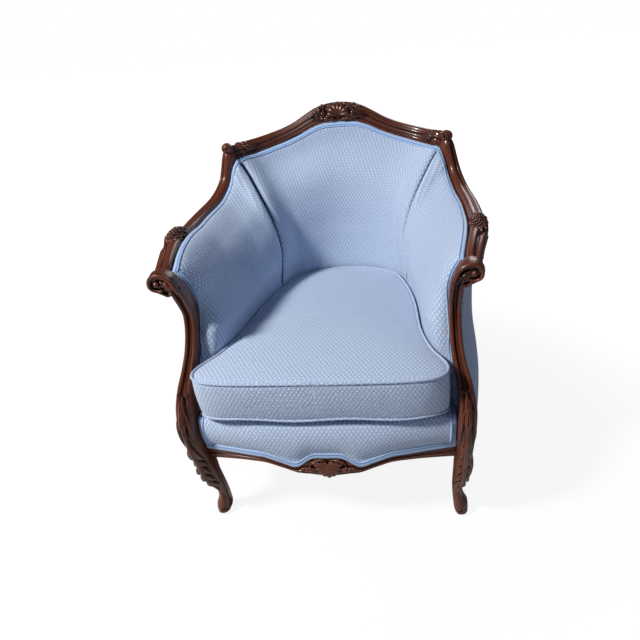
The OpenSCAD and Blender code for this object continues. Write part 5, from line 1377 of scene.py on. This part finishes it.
corded_gimp, tree = new_finish("corded_gimp_braid")
lie = add_node(tree, "ShaderNodeUVMap", {"uv_map": "cloth"})
slanted = add_node(tree, "ShaderNodeMapping", {}, {"Vector": lie.outputs[0], "Rotation": (0, 0, 0.5)})
cord = add_node(tree, "ShaderNodeTexWave", {"bands_direction": "X"},
                {"Vector": slanted.outputs[0], "Scale": 110.0, "Distortion": 0.4})
tone = add_node(tree, "ShaderNodeMix", {"data_type": "RGBA"},
                {0: cord.outputs["Fac"], 6: linear("#8fb1df"), 7: linear("#bad2f2")})
parts = add_node(tree, "ShaderNodeSeparateXYZ", {}, {0: lie.outputs[0]})
off_line = add_node(tree, "ShaderNodeMath", {"operation": "SUBTRACT"}, {0: parts.outputs[1], 1: 0.0084})
off_line = add_node(tree, "ShaderNodeMath", {"operation": "ABSOLUTE"}, {0: off_line.outputs[0]})
sunk = add_node(tree, "ShaderNodeMapRange", {"interpolation_type": "SMOOTHSTEP"},
                {"Value": off_line.outputs[0], "From Min": 0.0012, "From Max": 0.0003})
tone = add_node(tree, "ShaderNodeMix", {"data_type": "RGBA"},
                {0: sunk.outputs[0], 6: tone.outputs[2], 7: linear("#5584ca")})
add_surface(tree, {"Base Color": tone.outputs[2], "Roughness": 0.6, "Sheen Weight": 0.3},
            cord.outputs["Fac"], 0.7, 0.0009)
gimp_w, gimp_t, border_gimp_w, braid_lift = 12.5, 2.4, 15, 0.3
shares = np.linspace(0, 1, 25)
band = np.where(shares < 0.7, shares / 0.7, (shares - 0.7) / 0.3)
braid_height = braid_lift + gimp_t * (0.2 + 0.8 * np.clip(1 - (band * 2 - 1) ** 4, 0, 1))


def braid_strip(rows, begin, width, seen_from=(0, -200, 560)):
    """Rows run in from the wood across the cloth; the braid lies on each from begin mm."""
    inner = []
    for row, wide in zip(rows, np.broadcast_to(width, len(rows))):
        run = running(row)
        inner.append(np.stack([np.interp(begin + shares * wide, run, row[:, k]) for k in range(3)], 1))
    lines = np.array(inner)
    up, middle = normals_of(lines), len(shares) // 2
    if (up[len(up) // 2, middle] @ (np.array(seen_from) - lines[len(up) // 2, middle])) < 0:
        up = -up
    top = lines + up * braid_height[None, :, None]
    bottom = (lines + up * braid_lift)[:, ::-1]
    length = running(lines[:, middle])
    across = np.concatenate([shares, shares[::-1]]) * gimp_w
    measure = np.stack(np.broadcast_arrays(length[:, None], across[None]), -1)
    return loft(np.concatenate([top, bottom], 1)), measure


def make_gimp(name, shell, measure, flipped):
    piece = make_piece(name + "_braid", mirrored(shell) if flipped else shell, corded_gimp, "chair",
                       [name], 60)
    lay_cloth(piece, measure)


def fine_rows(grid, axis, end, depth):
    """Rows of points that run in from one edge of a grid."""
    g = grid if axis else grid.transpose(1, 0, 2)
    g = g[:, ::-1] if end else g
    return g[:, :depth]


row_depth, row_steps = 16, np.linspace(0, 1, 48)
front_rows = fine_rows(arm_cloth, 0, False, row_depth)
top_rows = fine_rows(arm_cloth, 1, True, row_depth)
corner_ends = np.array([front_rows[-1][0], mix(front_rows[-7][8], top_rows[7][8], 0.5)])
corner_row = spline(corner_ends, np.linspace(0, 1, row_depth))
arm_rows = [spline(r, row_steps) for r in list(front_rows[:-6]) + [corner_row] + list(top_rows[7:])]
arm_braid, arm_measure = braid_strip(arm_rows, gap, gimp_w)
make_gimp("right_arm_gimp", arm_braid, arm_measure, False)
make_gimp("left_arm_gimp", arm_braid, arm_measure, True)
crest_rows = [spline(r, row_steps) for r in fine_rows(back_cloth, 1, True, row_depth)]
crest_braid, crest_measure = braid_strip(crest_rows, 2, gimp_w)
make_gimp("crest_gimp", crest_braid, crest_measure, False)

# The border's braid runs down one side of its face, along the apron's lip and up the other side.
rounded = border_rings[:, :face_steps].transpose(1, 0, 2)
border_depth = 22
side_rows = [rounded[v, :border_depth] for v in range(40, 8, -1)]
low_rows = [rounded[:border_depth, x] for x in range(8, 162)]
corner_ends = np.array([rounded[0, 0], mix(rounded[9, 12], rounded[15, 8], 0.5)])
corner_row = spline(corner_ends, np.linspace(0, 1, border_depth))
half_rows = side_rows + [corner_row]
front_rows = half_rows + low_rows + [row * flip for row in half_rows[::-1]]
front_rows = [spline(row, row_steps) for row in front_rows]
front_braid, front_measure = braid_strip(front_rows, 0.5, border_gimp_w, (0, -900, 300))
make_gimp("front_gimp", front_braid, front_measure, False)


# Loose seat cushion
# A boxed cushion over a foam core: a crowned top, one strip of boxing and a flat base, all of the blue cloth.
# The cover is blown up by a cloth simulation between its sewn seams, which stay where the piping holds them.

box_swell = 3
corner_spread, tuck_back, tuck_up = 0.033, 16, 14
top_seam_z, bottom_seam_z = seat_h, seat_h - boxing_h


def outline(s, out):
    s = np.asarray(s, float)
    k = np.floor(s * outline_last).astype(int)
    t = column(s * outline_last - k)
    p = curve_step(*(outline_at(k + i) for i in (-1, 0, 1, 2)), t)
    return p + unit(mix(outline_normal(k), outline_normal(k + 1), t)) * out


def near_front(p):
    """0 behind the place where the lower seam begins to draw back, and 1 at the front."""
    return ramp(-p[:, 1], 250, 90)


def cushion_ring(out, z, size=1, count=216, tuck=0.0):
    """A ring of the cover; tuck, 0 to 1, draws it back and up as the lower seam is over the border's roll."""
    p = outline(np.arange(count) / count, out)
    share = near_front(p)
    near = share ** 2 * (3 - 2 * share)
    ahead = ramp(-p[:, 1], 225, 65)
    p[:, 0] *= 1 + corner_spread * ahead ** 2 * (3 - 2 * ahead)
    p[:, 1] += tuck_back * near * tuck
    wave = 2.5 * np.sin(p[:, 0] / 34) * near
    return with_z(mix(heart, p, size), z + (tuck_up * near + wave) * tuck)


crown = 22
cover_rings = [cushion_ring(-groove, bottom_seam_z, s, tuck=s ** 8)
               for s in (0.02, 0.3, 0.6, 0.8, 0.9, 0.96, 1)]
cover_rings += [cushion_ring(-2 + 2 * math.sin(math.pi * t), mix(bottom_seam_z + 1, top_seam_z - 1, t),
                             tuck=(1 - t) ** 1.5) for t in np.linspace(0, 1, 14)]
cover_rings += [cushion_ring(-groove, top_seam_z + 1)]
cover_rings += [cushion_ring(-groove, top_seam_z + 2 + crown * 0.8 * (1 - s ** 2.4), s)
                for s in (0.97, 0.9, 0.8, 0.68, 0.54, 0.4, 0.25, 0.1, 0.02)]
cushion = make_piece("seat_cushion_cover", loft(np.array(cover_rings)), lozenge_cotton, "cushion",
                     ["seat_cushion"], 60)


def blow_up(piece, voxel, pressure, cap, held):
    """Cloth simulation of a stuffed cover; held points stay, and no point moves further than the cap."""
    scene = bpy.context.scene
    for o in bpy.context.selected_objects:
        o.select_set(False)
    bpy.context.view_layer.objects.active = piece
    piece.select_set(True)
    remesh = piece.modifiers.new("remesh", "REMESH")
    remesh.mode, remesh.voxel_size, remesh.use_smooth_shade = "VOXEL", voxel, True
    bpy.ops.object.modifier_apply(modifier=remesh.name)
    start = np.array([v.co for v in piece.data.vertices])
    group = piece.vertex_groups.new(name="sewn")
    for i in np.flatnonzero(held(start)):
        group.add([int(i)], 1.0, "REPLACE")
    cloth = piece.modifiers.new("cloth", "CLOTH")
    s = cloth.settings
    s.quality = 6
    s.mass = 0.3
    s.tension_stiffness = s.compression_stiffness = 40
    s.shear_stiffness = 15
    s.bending_stiffness = 2
    s.use_pressure, s.uniform_pressure_force = True, pressure
    s.effector_weights.gravity = 0
    s.vertex_group_mass = group.name
    s.pin_stiffness = 10
    cloth.collision_settings.use_collision = False
    cloth.collision_settings.use_self_collision = False
    for f in range(1, 21):
        scene.frame_set(f)
    made = piece.evaluated_get(bpy.context.evaluated_depsgraph_get()).to_mesh()
    end = np.array([v.co for v in made.vertices])
    move = end - start
    far = np.linalg.norm(move, axis=1, keepdims=True)
    end = start + move * np.minimum(1, cap / np.maximum(far, 1e-9))
    piece.modifiers.remove(cloth)
    piece.vertex_groups.clear()
    piece.data.vertices.foreach_set("co", end.ravel())
    scene.frame_set(1)
    piece.data.update()


def under_seam(p):
    """Points of the flat underside and its seam."""
    return p[:, 2] < bottom_seam_z + 4 + 17 * near_front(p)


blow_up(cushion, voxel=0.006, pressure=4.0, cap=0.014,
        held=lambda p: (np.abs(p[:, 2] * 1000 - top_seam_z) < 4) | under_seam(p * 1000))
finer = cushion.modifiers.new("finer", "SUBSURF")
finer.levels = finer.render_levels = 1
bpy.ops.object.modifier_apply(modifier=finer.name)
at = np.array([v.co for v in cushion.data.vertices]) * 1000
ring = outline(np.linspace(0, 1, 1500, endpoint=False), 0)
run = running(ring)
nearest = np.concatenate([np.argmin(((part[:, None, :2] - ring[None]) ** 2).sum(2), 1)
                          for part in np.array_split(at, 60)])
mesh = cushion.data
corner = np.empty(len(mesh.loops), int)
mesh.loops.foreach_get("vertex_index", corner)
starts = np.empty(len(mesh.polygons), int)
mesh.polygons.foreach_get("loop_start", starts)
totals = np.empty(len(mesh.polygons), int)
mesh.polygons.foreach_get("loop_total", totals)
face_of = np.repeat(np.arange(len(totals)), totals)
centres = np.add.reduceat(at[corner], starts) / totals[:, None]
top_face = (centres[:, 2] > top_seam_z + 2) | under_seam(centres + [0, 0, 4])
side_uv = np.stack([run[nearest], at[:, 2]], 1)[corner]
first_run = side_uv[starts][face_of]
side_uv[:, 0] -= np.round((side_uv[:, 0] - first_run[:, 0]) / run[-1]) * run[-1]
uv = np.where(top_face[face_of][:, None], at[corner][:, :2], side_uv)
mesh.uv_layers.new(name="cloth").data.foreach_set("uv", (uv / 1000).ravel())
mesh.polygons.foreach_set("use_smooth", [True] * len(mesh.polygons))

# The base panel under the cushion.
base_rings = [cushion_ring(-groove * 1.1, z, s, tuck=s ** 8)
              for z, s in ((cushion_bottom_z, 0.02), (cushion_bottom_z, 0.5), (cushion_bottom_z, 0.75),
                           (cushion_bottom_z, 0.88), (cushion_bottom_z, 0.96), (cushion_bottom_z + 1.5, 1),
                           (bottom_seam_z - gap - 0.5, 1), (bottom_seam_z - gap, 0.96),
                           (bottom_seam_z - gap, 0.88), (bottom_seam_z - gap, 0.75),
                           (bottom_seam_z - gap, 0.02))]
base = make_piece("cushion_base_panel", loft(np.array(base_rings)), lozenge_cotton, "cushion",
                  ["cushion_base"], 60)
lay_cloth(base, np.array(base_rings)[..., :2])

# The block of cut polyurethane foam inside, with cells drawn 2 mm wide.
cut_foam = two_tone_finish("cut_foam", "ShaderNodeTexVoronoi", {}, {"Scale": 500.0}, ("#d9cda2", "#f2ecd2"),
                           {"Roughness": 0.95}, 0.5, 0.001)
foam_rings = [cushion_ring(-15, z, s, tuck=t)
              for z, s, t in ((bottom_seam_z + 1, 0.02, 0), (bottom_seam_z + 1, 0.6, 0),
                              (bottom_seam_z + 1, 0.85, 0.3), (bottom_seam_z + 1, 0.97, 1),
                              (bottom_seam_z + 4, 1, 1), (mix(bottom_seam_z, top_seam_z, 0.5), 1, 0.35),
                              (top_seam_z - 8, 1, 0), (top_seam_z - 4, 0.97, 0), (top_seam_z + 4, 0.7, 0),
                              (top_seam_z + 9, 0.4, 0), (top_seam_z + 11, 0.02, 0))]
foam_core = make_piece("cushion_foam_core", loft(np.array(foam_rings)), cut_foam, "cushion",
                       ["cushion_core"], 60)


# Piping
# Cord of 6 mm covered in the same cloth, sewn into the top and bottom seams of the cushion. The lower one
# follows its seam back and up over the border's roll.

cord_sides, cord_steps, cord_run, cloth_step = 12, 360, 1900, 1.6
around = np.linspace(0, 2 * math.pi, cord_sides, endpoint=False)
for name, z, tuck in (("top_welt", top_seam_z, 0), ("bottom_welt", bottom_seam_z, 1)):
    mid = cushion_ring(-welt_r * 0.95, z, count=cord_steps, tuck=tuck)
    out = unit(cushion_ring(0, z, count=cord_steps, tuck=tuck) - mid)
    rings = mid[:, None] + (out[:, None] * np.sin(around)[None, :, None]
                            + [0, 0, 1] * np.cos(around)[None, :, None]) * welt_r
    piece = make_piece(name + "_cord", loft(rings, path_shut=True), lozenge_cotton, "cushion",
                       [name], 80)
    length, across = np.linspace(0, cord_run, cord_steps), np.arange(cord_sides) * cloth_step
    lay_cloth(piece, np.stack(np.broadcast_arrays(length[:, None], across[None]), -1))


# Zip
# A woven tape with a nylon coil along the back of the boxing, and a plated slider that runs on it. The
# tape's ribs are drawn 1.6 mm apart; the slider rides on its own body.

zip_t, coil_t, zip_w, zip_angle = 1.2, 1.2, 26, 84
zip_r = back_r + box_swell + gap - (zip_t + coil_t + gap)
zip_z = mix(bottom_seam_z, top_seam_z, 0.5)
zip_tape = two_tone_finish("woven_zip_tape", "ShaderNodeTexWave", {"bands_direction": "Z"},
                           {"Scale": 200.0, "Distortion": 0.3}, ("#5f7fb4", "#7d9ccb"),
                           {"Roughness": 0.8}, 0.5, 0.0005)


def on_zip(angle, out, z):
    """A place on the zip: degrees from its middle, mm out of the boxing and mm above its centre line."""
    a = np.radians(90 - np.asarray(angle, float))
    r = zip_r + out
    return np.stack(np.broadcast_arrays(r * np.cos(a), arc_y + r * np.sin(a), zip_z + z), -1)


turns = np.linspace(-zip_angle / 2, zip_angle / 2, 160)
band = [(0, -zip_w / 2), (zip_t, -zip_w / 2), (zip_t, -zip_w * 0.32), (zip_t * 0.7, -zip_w * 0.3),
        (zip_t, -zip_w * 0.28), (zip_t, zip_w * 0.28), (zip_t * 0.7, zip_w * 0.3), (zip_t, zip_w * 0.32),
        (zip_t, zip_w / 2), (0, zip_w / 2)]
make_piece("zip_tape_band", loft(np.array([on_zip(turns, *p) for p in band]).transpose(1, 0, 2)), zip_tape,
           "cushion", ["cushion_zip"], 60)
strung("zip_coil", on_zip(np.linspace(-zip_angle * 0.46, zip_angle * 0.46, 90), zip_t + coil_t / 2, 0), 250,
       (0.75, 1.5, 0.55), (0, 0, 2.2), zip_tape, "cushion")

plated_zinc = two_tone_finish("plated_zinc_slider", "ShaderNodeTexNoise", {}, {"Scale": 1500.0},
                              ("#b99a5e", "#d8c08a"), {"Metallic": 1.0, "Roughness": 0.3})

slider_t, slider_l = 1.4, 9
slider_at = zip_angle * 0.44
slider_out = zip_t + coil_t + gap
reach = np.degrees(slider_l / 2 / zip_r)


def slider_plate(out, thick, turns, heights):
    """A small plate that follows the zip, with a rounded outline."""
    rows = []
    for turn, height in zip(turns, heights):
        corners = ((0, -1), (thick, -1), (thick, 1), (0, 1))
        rows.append([on_zip(slider_at - turn, out + o, z * height) for o, z in corners])
    return loft(np.array(rows))


slider_parts = [slider_plate(slider_out, slider_t * 0.6, np.linspace(-reach, reach, 9),
                             [3, 4.4, 4.9, 4.6, 4.2, 4.6, 5, 4.8, 3.6]),
                tube([on_zip(slider_at - t, slider_out + o, 0)
                      for t, o in ((-reach * 0.7, 0.5), (-reach * 0.4, 1.8), (reach * 0.3, 1.8),
                                   (reach * 0.7, 0.5))], 0.6, (0, 0, 1), 1.6),
                slider_plate(slider_out + 0.9, 0.5, np.linspace(-reach * 0.5, reach * 0.5, 5),
                             [1.6, 2.2, 2.4, 2.2, 1.6])]
pull = [on_zip(slider_at, slider_out + 1.35, z) for z in (-1.5, -5, -11, -14.5)]
slider_parts.append(leaf(pull, on_zip(slider_at, 10, 0) - on_zip(slider_at, 0, 0),
                         [2.4, 3, 4.6, 3.4], 0.5, steps=16))
make_piece("zip_slider_and_pull", together(slider_parts), plated_zinc, "zip_puller",
           ["zip_slider"], 50)
